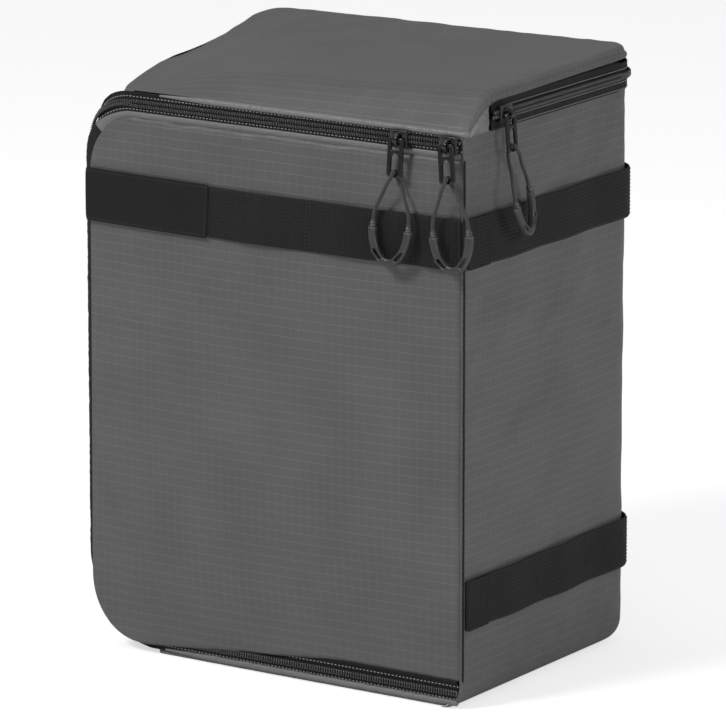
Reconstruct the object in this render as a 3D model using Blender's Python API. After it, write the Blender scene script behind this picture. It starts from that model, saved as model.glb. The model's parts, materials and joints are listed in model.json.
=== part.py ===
"""Padded camera bag insert: a soft box with a zipped front door and a zipped top lid.

Metres, +Z up. The origin is the centre of the underside. +X is the hinge side of the door,
-Y is the front and the door, and +Y is the back.
"""

import math

import bmesh
import bpy
from mathutils import Matrix, Vector

# Overall size
BAG_WIDTH = 0.266
BAG_DEPTH = 0.188
FOLD_HEIGHT = 0.342
HALF_WIDTH = BAG_WIDTH / 2
HALF_DEPTH = BAG_DEPTH / 2
LID_EDGE_RISE = 0.0155
LID_EDGE_HEIGHT = FOLD_HEIGHT + LID_EDGE_RISE
LID_BACK_RISE = 0.003
LID_SAG = 0.004
LID_CORNER_LIFT = 0.004
LID_RAMP = 0.032

# Wall layers
GAP = 0.0003
SKIN = 0.0010
FOAM = 0.0080
LINING = 0.0008
WALL_BULGE = 0.0010

# Rounded edges
BACK_RADIUS = 0.020
BASE_RADIUS = 0.014
LOWER_LEFT_RADIUS = 0.048
UPPER_LEFT_RADIUS = 0.034
CORNER_TAPER = 0.075
BACK_LEFT_DROP_SHARE = 0.25
LEAN_RUN = 0.060

# Front door
DOOR_PROUD = 0.0025
DOOR_THICKNESS = 0.0120
DOOR_FACE = HALF_DEPTH + DOOR_PROUD
DOOR_BACK = DOOR_FACE - DOOR_THICKNESS
DOOR_TOP_DROP = 0.0155
DOOR_TOP = FOLD_HEIGHT - DOOR_TOP_DROP
DOOR_BOTTOM = 0.0165
DOOR_SIDE_INSET = 0.0015
DOOR_SIDE = HALF_WIDTH - DOOR_SIDE_INSET
DOOR_RIGHT_RADIUS = 0.003
DOOR_CROWN = 0.0095
WALL_SETBACK = 0.0010
WALL_FRONT = DOOR_BACK - WALL_SETBACK
LEFT_WALL_SETBACK = 0.0077
LEFT_WALL_FRONT = DOOR_BACK - LEFT_WALL_SETBACK
RIM_DROP = 0.0035
RIM_HEIGHT = FOLD_HEIGHT - RIM_DROP
DOOR_SEAM_INSET = 0.0012
SEAM_PIPING = 0.0014
BASE_SETBACK = 0.0050
BASE_FRONT = HALF_DEPTH - BASE_SETBACK
BASE_CORNER_TRIM = 0.0048
BINDING = 0.0030
BINDING_DEPTH = 0.0045

# Rail across the top of the opening
RAIL_DEPTH = 0.0094
RAIL_BOTTOM = DOOR_TOP + GAP
RAIL_SETBACK = 0.0008
RAIL_FRONT = HALF_DEPTH - RAIL_SETBACK
RAIL_LEFT_INSET = 0.0290
RAIL_LEFT = HALF_WIDTH - RAIL_LEFT_INSET

# Zips
TAPE = 0.0007
POST_SLOT = 0.0012
COIL_WIDTH = 0.0030
COIL_HEIGHT = 0.0024
DOOR_ZIP_RISE = 0.0080
DOOR_ZIP_HEIGHT = DOOR_TOP + DOOR_ZIP_RISE
DOOR_ZIP_SETBACK = 0.0010
DOOR_ZIP_FACE = DOOR_FACE - DOOR_ZIP_SETBACK
DOOR_ZIP_STAND_OFF = 0.0021
DOOR_ZIP_SIDE = DOOR_SIDE + DOOR_ZIP_STAND_OFF
DOOR_ZIP_SIDE_SETBACK = 0.0110
DOOR_ZIP_SIDE_FACE = DOOR_FACE - DOOR_ZIP_SIDE_SETBACK
DOOR_ZIP_DROP = 0.0067
DOOR_ZIP_BOTTOM = DOOR_BOTTOM - DOOR_ZIP_DROP
DOOR_ZIP_LOW_SETBACK = 0.0020
DOOR_ZIP_BOTTOM_FACE = DOOR_FACE - DOOR_ZIP_LOW_SETBACK
DOOR_ZIP_END_INSET = 0.0015
DOOR_ZIP_END = DOOR_SIDE - DOOR_ZIP_END_INSET
DOOR_ZIP_LOW_END_INSET = 0.0030
DOOR_ZIP_LOW_END = DOOR_SIDE - DOOR_ZIP_LOW_END_INSET
ZIP_TURN_STEPS = 18
LID_ZIP_RISE = 0.0095
LID_ZIP_HEIGHT = RIM_HEIGHT + LID_ZIP_RISE
LID_ZIP_STAND_OFF = 0.0006
LID_ZIP_RIGHT_INSET = 0.0240
LID_ZIP_RIGHT_START = HALF_DEPTH - LID_ZIP_RIGHT_INSET
LID_ZIP_LEFT_INSET = 0.0420
LID_ZIP_LEFT_END = HALF_DEPTH - LID_ZIP_LEFT_INSET

# Webbing
WEBBING = 0.0013
WEBBING_WIDTH = 0.030
UPPER_BAND_DROP = 0.0495
UPPER_BAND_HEIGHT = DOOR_TOP - UPPER_BAND_DROP
LOWER_BAND_HEIGHT = 0.063
LOOP_BULGE = 0.0016
DOOR_TACK_PITCH = 0.070
DOOR_LAST_TACK_INSET = 0.0315
DOOR_LAST_TACK = DOOR_SIDE - DOOR_LAST_TACK_INSET
SIDE_TACK_PITCH = 0.062
DOUBLED_END = 0.022
PATCH = 0.0008
PATCH_MARGIN = 0.0010

# Zip sliders and their pulls
SLIDER_LENGTH = 0.0115
SLIDER_HALF_WIDTH = 0.0050
SLIDER_PLATE = 0.0014
SLIDER_WALL = 0.0009
POST = 0.0006
BRIDGE_SPAN = 0.0070
BRIDGE_RISE = 0.0043
BRIDGE_WIDTH = 0.0028
BRIDGE_BAR = 0.0010
TAB_WIDTH = 0.0105
TAB_LENGTH = 0.0230
TAB_THICKNESS = 0.0018
TAB_BAR = 0.0020
TAB_EYE = 0.0052
TAB_RAIL = 0.0026
CORD_DIAMETER = 0.0022
CORD_DROP = 0.032
GRIP_WIDTH = 0.029
GRIP_HEIGHT = 0.022
GRIP_BAND = 0.0048
GRIP_THICKNESS = 0.0038
GRIP_SLOT_LENGTH = 0.0070
GRIP_SLOT_WIDTH = 0.0016
PULL_LEAN = math.radians(5.0)

# Dividers
DIVIDER = 0.010
DIVIDER_CLEARANCE = 0.0006
SHELF_DROP = 0.1025
SHELF_HEIGHT = RIM_HEIGHT - SHELF_DROP
COLUMN_HEIGHT = 0.150
COLUMN_PLACE = 0.042
HOOK_STRIP = 0.0010
HOOK_STRIP_WIDTH = 0.020
HOOK_STRIP_MARGIN = 0.012

WALL = SKIN + FOAM + LINING + 2 * GAP
DIAGONAL = 1 - math.sqrt(0.5)
SMOOTH_ANGLE = math.radians(35.0)
MERGE_DISTANCE = 0.00001

GREY_FABRIC = ("grey ripstop", (0.125, 0.125, 0.128), 0.55, 0.0)
BLACK_WEBBING = ("black webbing", (0.016, 0.016, 0.017), 0.75, 0.0)
BLACK_TAPE = ("black zip tape", (0.014, 0.014, 0.015), 0.7, 0.0)
BLACK_COIL = ("black zip coil", (0.012, 0.012, 0.013), 0.35, 0.0)
BLACK_METAL = ("black slider metal", (0.010, 0.010, 0.011), 0.25, 0.9)
GREY_CORD = ("grey cord", (0.075, 0.076, 0.080), 0.6, 0.0)
GREY_GRIP = ("grey moulded grip", (0.085, 0.086, 0.090), 0.4, 0.0)
FOAM_BOARD = ("foam board", (0.05, 0.05, 0.052), 0.9, 0.0)
LINING_CLOTH = ("lining", (0.085, 0.085, 0.09), 0.9, 0.0)
HOOK_TAPE = ("hook tape", (0.02, 0.02, 0.02), 0.9, 0.0)


def start_collections():
    """Clear the scene and make a collection for the parts and one for the cutters."""
    for old in list(bpy.data.objects):
        bpy.data.objects.remove(old, do_unlink=True)
    made = []
    for name in ("camera_bag_insert", "cutters"):
        collection = bpy.data.collections.new(name)
        bpy.context.scene.collection.children.link(collection)
        made.append(collection)
    return made


PARTS, CUTTERS = start_collections()


def material(spec):
    """Return the material of a finish, made the first time it is asked for."""
    name, colour, roughness, metallic = spec
    found = bpy.data.materials.get(name)
    if found:
        return found
    made = bpy.data.materials.new(name)
    made.use_nodes = True
    shader = made.node_tree.nodes["Principled BSDF"]
    shader.inputs["Base Color"].default_value = (*colour, 1.0)
    shader.inputs["Roughness"].default_value = roughness
    shader.inputs["Metallic"].default_value = metallic
    made.diffuse_color = (*colour, 1.0)
    return made


def finish_mesh(name, shape, spec, collection=None):
    """Turn a bmesh into a named object with outward faces and one material."""
    bmesh.ops.recalc_face_normals(shape, faces=shape.faces)
    mesh = bpy.data.meshes.new(name)
    shape.to_mesh(mesh)
    shape.free()
    mesh.materials.append(material(spec))
    mesh.shade_smooth()
    mesh.set_sharp_from_angle(angle=SMOOTH_ANGLE)
    made = bpy.data.objects.new(name, mesh)
    (collection or PARTS).objects.link(made)
    return made


CROWDING_SHARE = 0.45


def spread(start, end, count):
    """Return count + 1 evenly spaced values from start to end."""
    return [start + (end - start) * step / count for step in range(count + 1)]


def eased(count):
    """Return shares from 0 to 1 that crowd towards both ends, where edges turn."""
    even = spread(0.0, 1.0, count)
    return [share - CROWDING_SHARE * math.sin(math.tau * share) / math.tau for share in even]


def loft(name, near, far, columns, rows, spec):
    """Close a padded panel between two surfaces, each a function of a column and a row share."""
    shape = bmesh.new()
    sheets = []
    for surface in (near, far):
        sheets.append([[shape.verts.new(surface(u, v)) for u in columns] for v in rows])
    last_row, last_column = len(rows) - 1, len(columns) - 1
    for row in range(last_row):
        for column in range(last_column):
            for sheet in sheets:
                shape.faces.new((sheet[row][column], sheet[row][column + 1],
                                 sheet[row + 1][column + 1], sheet[row + 1][column]))
    edge = [(0, column) for column in range(last_column)]
    edge += [(row, last_column) for row in range(last_row)]
    edge += [(last_row, column) for column in range(last_column, 0, -1)]
    edge += [(row, 0) for row in range(last_row, 0, -1)]
    for here, there in zip(edge, edge[1:] + edge[:1]):
        corners = [sheets[0][here[0]][here[1]], sheets[0][there[0]][there[1]],
                   sheets[1][there[0]][there[1]], sheets[1][here[0]][here[1]]]
        shape.faces.new(corners)
    return finish_mesh(name, shape, spec)


def sweep(name, stations, profile, spec, collection=None):
    """Carry a closed profile of (across, outward) sizes along stations and cap its ends."""
    shape = bmesh.new()
    rings = []
    for place, across, outward in stations:
        rings.append([shape.verts.new(place + across * a + outward * n) for a, n in profile])
    for first, second in zip(rings, rings[1:]):
        for index in range(len(profile)):
            after = (index + 1) % len(profile)
            shape.faces.new((first[index], first[after], second[after], second[index]))
    shape.faces.new(rings[0])
    shape.faces.new(rings[-1])
    return finish_mesh(name, shape, spec, collection)


def strip_profile(low, high, inner, outer):
    """Return a rectangle from low to high across the strip and inner to outer from its back."""
    return [(low, inner), (high, inner), (high, outer), (low, outer)]


def boxed(name, low, high, spec, bevel=0.0, back_radius=0.0):
    """Make a box from its lowest and highest corners.

    Bevel rounds all its edges, and back_radius rounds its two upright edges at the back.
    """
    shape = bmesh.new()
    bmesh.ops.create_cube(shape, size=1.0)
    low, high = Vector(low), Vector(high)
    size = high - low
    bmesh.ops.scale(shape, vec=size, verts=shape.verts)
    bmesh.ops.translate(shape, vec=(low + high) / 2, verts=shape.verts)
    if back_radius:
        upright = [edge for edge in shape.edges
                   if abs(edge.verts[0].co.x - edge.verts[1].co.x) < GAP
                   and min(vert.co.y for vert in edge.verts) > high.y - GAP]
        bmesh.ops.bevel(shape, geom=upright, offset=back_radius, segments=4, profile=0.5,
                        affect="EDGES")
    if bevel:
        bmesh.ops.bevel(shape, geom=shape.edges[:], offset=bevel, segments=2, profile=0.5,
                        affect="EDGES")
    return finish_mesh(name, shape, spec)


def apply_modifiers(made):
    """Replace an object's mesh with its evaluated one and drop its modifiers."""
    graph = bpy.context.evaluated_depsgraph_get()
    mesh = bpy.data.meshes.new_from_object(made.evaluated_get(graph))
    made.modifiers.clear()
    made.data = mesh


def combine(made, other, operation):
    """Join or cut an object with another by an exact Boolean, and remove the other."""
    change = made.modifiers.new(operation.lower(), "BOOLEAN")
    change.operation = operation
    change.object = other
    bpy.context.view_layer.update()
    apply_modifiers(made)
    bpy.data.objects.remove(other, do_unlink=True)


SIDE_RUN = BAG_DEPTH - BACK_RADIUS
CORNER_RUN = BACK_RADIUS * math.pi / 2
BACK_RUN = BAG_WIDTH - 2 * BACK_RADIUS
BACK_START = SIDE_RUN + CORNER_RUN
LEFT_START = BACK_START + BACK_RUN
PLAN_RUN = LEFT_START + CORNER_RUN + SIDE_RUN


def plan(run):
    """Return the place and outward direction at a run along right wall, back and left wall."""
    centre_x = HALF_WIDTH - BACK_RADIUS
    centre_y = HALF_DEPTH - BACK_RADIUS
    if run <= SIDE_RUN:
        return Vector((HALF_WIDTH, run - HALF_DEPTH, 0.0)), Vector((1.0, 0.0, 0.0))
    if run <= BACK_START:
        turn = (run - SIDE_RUN) / BACK_RADIUS
        out = Vector((math.cos(turn), math.sin(turn), 0.0))
        return Vector((centre_x, centre_y, 0.0)) + out * BACK_RADIUS, out
    if run <= LEFT_START:
        return Vector((centre_x - (run - BACK_START), HALF_DEPTH, 0.0)), Vector((0.0, 1.0, 0.0))
    if run <= LEFT_START + CORNER_RUN:
        turn = math.pi / 2 + (run - LEFT_START) / BACK_RADIUS
        out = Vector((math.cos(turn), math.sin(turn), 0.0))
        return Vector((-centre_x, centre_y, 0.0)) + out * BACK_RADIUS, out
    down = run - LEFT_START - CORNER_RUN
    return Vector((-HALF_WIDTH, centre_y - down, 0.0)), Vector((-1.0, 0.0, 0.0))


def front_share(y):
    """Return 1 at the front edge, easing to 0 where the soft left corners have straightened."""
    share = min(max((y + HALF_DEPTH) / CORNER_TAPER, 0.0), 1.0)
    return (1 - share) ** 2 * (1 + 2 * share)


def base_radius(x, y):
    """Return the radius of the bottom edge, widest at the left front."""
    if x > 0:
        return BASE_RADIUS
    return BASE_RADIUS + (LOWER_LEFT_RADIUS - BASE_RADIUS) * front_share(y)


def rim_drop(x, y):
    """Return how far the top edge of the wall is drawn down and in, which it is on the left."""
    left = min(max((HALF_WIDTH / 2 - x) / HALF_WIDTH, 0.0), 1.0)
    full = DIAGONAL * UPPER_LEFT_RADIUS
    share = BACK_LEFT_DROP_SHARE + (1 - BACK_LEFT_DROP_SHARE) * front_share(y)
    back = min(max((HALF_DEPTH - y) / CORNER_TAPER, 0.0), 1.0)
    return full * share * left * back


def round_over(radius, distance):
    """Return how far a rounded edge falls away at a distance from where it would be sharp."""
    short = min(max(radius - distance, 0.0), radius)
    return radius - math.sqrt(radius * radius - short * short)


def wall_surface(run, z):
    """Return a point of the walls' outer surface."""
    place, out = plan(run)
    radius = base_radius(place.x, place.y)
    inward = round_over(radius, z)
    draw = rim_drop(place.x, place.y)
    lean = min(max((z - RIM_HEIGHT + draw + LEAN_RUN) / LEAN_RUN, 0.0), 1.0)
    inward += draw * lean * lean
    along = math.sin(math.pi * min(max(z / RIM_HEIGHT, 0.0), 1.0))
    if run < SIDE_RUN:
        side = math.sin(math.pi * run / SIDE_RUN)
    elif run > PLAN_RUN - SIDE_RUN:
        side = math.sin(math.pi * (PLAN_RUN - run) / SIDE_RUN)
    else:
        side = math.sin(math.pi * min(max((run - BACK_START) / BACK_RUN, 0.0), 1.0))
    lifted = place + out * (WALL_BULGE * along * max(side, 0.0) - inward)
    lifted.z = z
    return lifted


SAMPLE_STEP = 0.0005


def wall_frame(run, z):
    """Return the place, the upward direction along the wall and the outward normal."""
    place = wall_surface(run, z)
    along = wall_surface(run + SAMPLE_STEP, z) - wall_surface(run - SAMPLE_STEP, z)
    up = wall_surface(run, z + SAMPLE_STEP) - wall_surface(run, z - SAMPLE_STEP)
    outward = along.cross(up).normalized()
    return place, outward.cross(along).normalized(), outward


EDGE_SHARE = 0.2
EDGE_ROW_SHARES = [0.0, 0.1, 0.2, 0.4, 0.6, 0.8, 0.9, 1.0]
WALL_ROW_SHARES = [0.0, 0.1, 0.2, 0.35, 0.5, 0.6, 0.7, 0.8]
SEAM_TRIM = 0.0005
TAPER_END = CORNER_TAPER - HALF_DEPTH
SIDE_ROWS = spread(-LEFT_WALL_FRONT, TAPER_END, 5) + spread(TAPER_END, HALF_DEPTH - BACK_RADIUS, 2)[1:]


def edged(share, length, start_radius, end_radius):
    """Return a distance along a panel, with a fifth of its shares on each rounded edge."""
    if share < EDGE_SHARE:
        turn = (1 - share / EDGE_SHARE) * math.pi / 4
        return start_radius * (1 - math.sin(turn))
    if share > 1 - EDGE_SHARE:
        turn = (1 - (1 - share) / EDGE_SHARE) * math.pi / 4
        return length - end_radius * (1 - math.sin(turn))
    middle = (share - EDGE_SHARE) / (1 - 2 * EDGE_SHARE)
    return start_radius + (length - end_radius - start_radius) * middle


def wall_panel(name, runs, depth, thickness, spec):
    """Make one layer of a wall at the given runs, at a depth below the outer surface."""
    def layer(below):
        def surface(run, v):
            place, _ = plan(run)
            low_radius = base_radius(place.x, place.y)
            top = RIM_HEIGHT - rim_drop(place.x, place.y)
            z = edged(v, top, low_radius, 0.0) + SEAM_TRIM * max(1 - v / EDGE_SHARE, 0.0)
            point, _, outward = wall_frame(run, z)
            return point - outward * below
        return surface

    loft(name, layer(depth), layer(depth + thickness), runs, WALL_ROW_SHARES, spec)


def make_walls():
    """Make the outer fabric, foam board and lining of the right, back and left walls."""
    right_front = HALF_DEPTH - WALL_FRONT
    left_end = PLAN_RUN - HALF_DEPTH
    skin_front = HALF_DEPTH - DOOR_FACE + DOOR_SEAM_INSET
    half_corner = CORNER_RUN / 2
    right_turn = spread(SIDE_RUN, SIDE_RUN + half_corner - SEAM_TRIM, 3)
    back_turn = spread(SIDE_RUN + half_corner + SEAM_TRIM, BACK_START, 3)
    back_return = spread(LEFT_START, LEFT_START + half_corner - SEAM_TRIM, 3)
    left_turn = spread(LEFT_START + half_corner + SEAM_TRIM, LEFT_START + CORNER_RUN, 3)
    left_side = [left_end - y for y in SIDE_ROWS[-2::-1]]
    spans = {
        "right_wall": spread(right_front, SIDE_RUN, 3)[:-1] + right_turn,
        "back_wall": back_turn + spread(BACK_START, LEFT_START, 4)[1:-1] + back_return,
        "left_wall": left_turn + left_side,
    }
    for wall, runs in spans.items():
        skin_runs = [skin_front] + runs if wall == "right_wall" else runs
        wall_panel(wall + "_skin", skin_runs, 0.0, SKIN, GREY_FABRIC)
        wall_panel(wall + "_foam", runs, SKIN + GAP, FOAM, FOAM_BOARD)
        wall_panel(wall + "_lining", runs, WALL - LINING, LINING, LINING_CLOTH)


def base_edges(y, inset):
    """Return the base's left and right edges at a depth, each an inset in from the wall."""
    back = HALF_DEPTH - BACK_RADIUS
    edges = []
    for side in (-1, 1):
        step = inset(side * HALF_WIDTH, y)
        reach = HALF_WIDTH - step
        if y > back:
            radius = BACK_RADIUS - step
            across = min(y - back, radius)
            reach -= radius - math.sqrt(radius * radius - across * across)
        edges.append(side * reach)
    return edges


def plan_inset(x, y):
    """Return how far a point lies inside the outline of the bag's plan, front edge left out."""
    corner = Vector((abs(x) - (HALF_WIDTH - BACK_RADIUS), y - (HALF_DEPTH - BACK_RADIUS)))
    if corner.x > 0 and corner.y > 0:
        return BACK_RADIUS - corner.length
    return min(HALF_WIDTH - abs(x), HALF_DEPTH - y)


def make_base():
    """Make the outer fabric, foam board and lining of the base."""
    def inset(x, y):
        return DIAGONAL * base_radius(x, y) + SEAM_TRIM

    def place(u, y):
        fade = min(max(1 - (y + BASE_FRONT) / (BASE_FRONT - LEFT_WALL_FRONT), 0.0), 1.0)
        y += BASE_CORNER_TRIM * fade * max(1 - u / EDGE_SHARE, 0.0) ** 2
        left, right = base_edges(y, inset)
        left_radius, right_radius = base_radius(-HALF_WIDTH, y), base_radius(HALF_WIDTH, y)
        spare_left = inset(-HALF_WIDTH, y)
        spare_right = inset(HALF_WIDTH, y)
        reach = edged(u, right - left + spare_left + spare_right, left_radius, right_radius)
        x = min(max(left - spare_left + reach, left), right)
        return Vector((x, y, round_over(base_radius(x, y), plan_inset(x, y))))

    def layer(below):
        def surface(u, y):
            small = SAMPLE_STEP / BAG_WIDTH
            here = place(u, y)
            along = place(min(u + small, 1.0), y) - place(max(u - small, 0.0), y)
            ahead = place(u, min(y + SAMPLE_STEP, back)) - place(u, y - SAMPLE_STEP)
            inward = along.cross(ahead).normalized()
            return here + inward * below
        return surface

    back = HALF_DEPTH - DIAGONAL * BASE_RADIUS - SEAM_TRIM
    rows = [-BASE_FRONT] + SIDE_ROWS + spread(SIDE_ROWS[-1], back, 4)[1:]
    for piece, depth, thickness, spec in (
            ("base_skin", 0.0, SKIN, GREY_FABRIC),
            ("base_foam", SKIN + GAP, FOAM, FOAM_BOARD),
            ("base_lining", WALL - LINING, LINING, LINING_CLOTH)):
        loft(piece, layer(depth), layer(depth + thickness), EDGE_ROW_SHARES, rows, spec)


def lid_outline(y, margin):
    """Return the lid's left and right edges at a depth, a margin inside the walls' outline."""
    back = HALF_DEPTH - BACK_RADIUS
    near_fold = max(1 - (y + HALF_DEPTH) / LID_RAMP, 0.0) ** 2
    left = HALF_WIDTH - rim_drop(-HALF_WIDTH, y) - margin
    left -= UPPER_LEFT_RADIUS * (1 - DIAGONAL) * near_fold
    right = HALF_WIDTH - margin
    if y > back:
        radius = BACK_RADIUS - margin
        across = min(y - back, radius)
        fall = radius - math.sqrt(radius * radius - across * across)
        left -= fall
        right -= fall
    return -left, right


LID_COLUMN_SHARES = [0.0, 0.008, 0.02, 0.06, 0.16, 0.3, 0.44, 0.56, 0.7, 0.84, 0.94, 0.98, 0.992, 1.0]
LID_ROW_SHARES = [0.0, 0.03, 0.07, 0.12, 0.18, 0.28, 0.42, 0.56, 0.7, 0.82, 0.9, 0.95, 0.98, 0.992, 1.0]
LID_EDGE_RADIUS = 0.004
LID_FOAM_SETBACK = 0.0230
LID_FOAM_FRONT = HALF_DEPTH - LID_FOAM_SETBACK
LID_BOARD_RISE = 0.0091
LID_BOARD_HEIGHT = RIM_HEIGHT + LID_BOARD_RISE
LID_SIDE_MARGIN = 0.0004
LID_BOARD_MARGIN = 0.0048


def lid_top(x, y, left, right):
    """Return the height of the lid's outer surface: ramped at the fold, sagging in the middle."""
    depth = y + HALF_DEPTH
    ramp = min(max(depth / LID_RAMP, 0.0), 1.0)
    ramp = 1 - (1 - ramp) ** 2
    share = min(max((x - left) / (right - left), 0.0), 1.0)
    edge = FOLD_HEIGHT + (LID_EDGE_HEIGHT - FOLD_HEIGHT) * ramp
    edge -= rim_drop(-HALF_WIDTH, y) * (1 - share) * ramp
    along = depth / BAG_DEPTH
    edge += LID_BACK_RISE * along * share
    inside = min(x - left, right - x, HALF_DEPTH - y)
    roll = LID_EDGE_RADIUS - round_over(LID_EDGE_RADIUS, max(inside, 0.0))
    crown = roll * ramp
    sag = LID_SAG * math.sin(math.pi * share) * math.sin(math.pi * along)
    lift = LID_CORNER_LIFT * (1 - share) ** 2 * max(along - 0.5, 0.0) * 2 * min(inside / LID_RAMP, 1.0)
    return edge + crown - sag + lift


def make_lid():
    """Make the lid's outer fabric, foam board and lining."""
    front = -DOOR_ZIP_FACE + SLIDER_PLATE

    def place(u, v, start, margin):
        y = start + (HALF_DEPTH - LID_SIDE_MARGIN - margin - start) * v
        left, right = lid_outline(y, LID_SIDE_MARGIN + margin)
        return left + (right - left) * u, y

    def top(below, start, margin):
        def surface(u, v):
            x, y = place(u, v, start, margin)
            left, right = lid_outline(y, LID_SIDE_MARGIN)
            return Vector((x, y, lid_top(x, y, left, right) - below))
        return surface

    def flat(height, start, margin):
        def surface(u, v):
            x, y = place(u, v, start, margin)
            return Vector((x, y, height - rim_drop(-HALF_WIDTH, y) * (1 - u)))
        return surface

    loft("lid_skin", top(0.0, front, 0.0), top(SKIN, front, 0.0), LID_COLUMN_SHARES,
         LID_ROW_SHARES, GREY_FABRIC)
    start = -LID_FOAM_FRONT
    coarse_columns, coarse_rows = eased(9), eased(9)
    loft("lid_foam", top(SKIN + 2 * GAP, start, LID_BOARD_MARGIN),
         flat(LID_BOARD_HEIGHT, start, LID_BOARD_MARGIN), coarse_columns, coarse_rows, FOAM_BOARD)
    loft("lid_lining", flat(LID_BOARD_HEIGHT - GAP, start, LID_BOARD_MARGIN),
         flat(LID_BOARD_HEIGHT - GAP - LINING, start, LID_BOARD_MARGIN), coarse_columns,
         coarse_rows, LINING_CLOTH)


def make_rail():
    """Make the padded rail that holds the side walls together across the top of the opening."""
    right = HALF_WIDTH - SKIN - 2 * GAP
    top = FOLD_HEIGHT - SKIN - 3 * GAP
    boxed("top_front_rail", (-RAIL_LEFT, -RAIL_FRONT, RAIL_BOTTOM),
          (right, -RAIL_FRONT + RAIL_DEPTH, top), GREY_FABRIC, bevel=SKIN)


def door_left_edge(z):
    """Return the x of the door's left edge, rounded at the top and the bottom."""
    top, bottom = UPPER_LEFT_RADIUS, LOWER_LEFT_RADIUS
    return -DOOR_SIDE + round_over(top, DOOR_TOP - z) + round_over(bottom, z - DOOR_BOTTOM)


def door_right_edge(z):
    """Return the x of the door's right edge, beside the hinge seam."""
    small = DOOR_RIGHT_RADIUS
    fall = round_over(small, DOOR_TOP - z) + round_over(small, z - DOOR_BOTTOM)
    return DOOR_SIDE - fall


def door_crown(x, z):
    """Return how far the door swells forward of its edges."""
    left = door_left_edge(z)
    across = 2 * (x - left) / (door_right_edge(z) - left) - 1
    upright = 2 * (z - DOOR_BOTTOM) / (DOOR_TOP - DOOR_BOTTOM) - 1
    return DOOR_CROWN * max(1 - across * across, 0.0) * max(1 - upright * upright, 0.0)


def door_surface(x, z):
    """Return a point of the door's outer surface."""
    return Vector((x, -DOOR_FACE - door_crown(x, z), z))


DOOR_BOTTOM_ROW_SHARES = [0.0, 0.006, 0.02, 0.045, 0.08, 0.12, 0.16, 0.28, 0.4, 0.52]
DOOR_TOP_ROW_SHARES = [0.64, 0.76, 0.86, 0.89, 0.92, 0.95, 0.975, 0.99, 1.0]


def make_door():
    """Make the door's outer fabric, foam board and lining."""
    height = DOOR_TOP - DOOR_BOTTOM

    def layer(below):
        def surface(u, v):
            z = DOOR_BOTTOM + height * v
            left = door_left_edge(z)
            point = door_surface(left + (door_right_edge(z) - left) * u, z)
            return point + Vector((0.0, below, 0.0))
        return surface

    def flat(back):
        def surface(u, v):
            z = DOOR_BOTTOM + height * v
            left = door_left_edge(z)
            return Vector((left + (door_right_edge(z) - left) * u, -back, z))
        return surface

    rows = DOOR_BOTTOM_ROW_SHARES + DOOR_TOP_ROW_SHARES
    loft("door_skin", layer(0.0), layer(SKIN), eased(10), rows, GREY_FABRIC)
    loft("door_foam", layer(SKIN + GAP), flat(DOOR_BACK + LINING + GAP), eased(6), rows,
         FOAM_BOARD)
    loft("door_lining", flat(DOOR_BACK + LINING), flat(DOOR_BACK), [0.0, 0.5, 1.0], rows,
         LINING_CLOTH)


def make_hinge_seam():
    """Make the thin piping on the hinge line and the binding under the bottom zip."""
    outline = []
    for step in range(8):
        turn = math.tau * step / 8
        outline.append((SEAM_PIPING / 2 * math.cos(turn), SEAM_PIPING / 2 * math.sin(turn)))
    stations = []
    for z in spread(DOOR_BOTTOM, DOOR_TOP, 2):
        place = Vector((hinge_x(), -DOOR_FACE, z))
        stations.append((place, Vector((1.0, 0.0, 0.0)), Vector((0.0, 1.0, 0.0))))
    sweep("hinge_piping", stations, outline, BLACK_TAPE)
    left = -HALF_WIDTH + LOWER_LEFT_RADIUS
    boxed("bottom_front_binding", (left, -BASE_FRONT - GAP - BINDING_DEPTH, 0.0),
          (HALF_WIDTH - BASE_RADIUS, -BASE_FRONT - GAP, BINDING), GREY_FABRIC, bevel=LINING)


def hinge_x():
    """Return the x of the door's hinge line, in the seam between door and right wall."""
    return DOOR_SIDE + SEAM_PIPING


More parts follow.
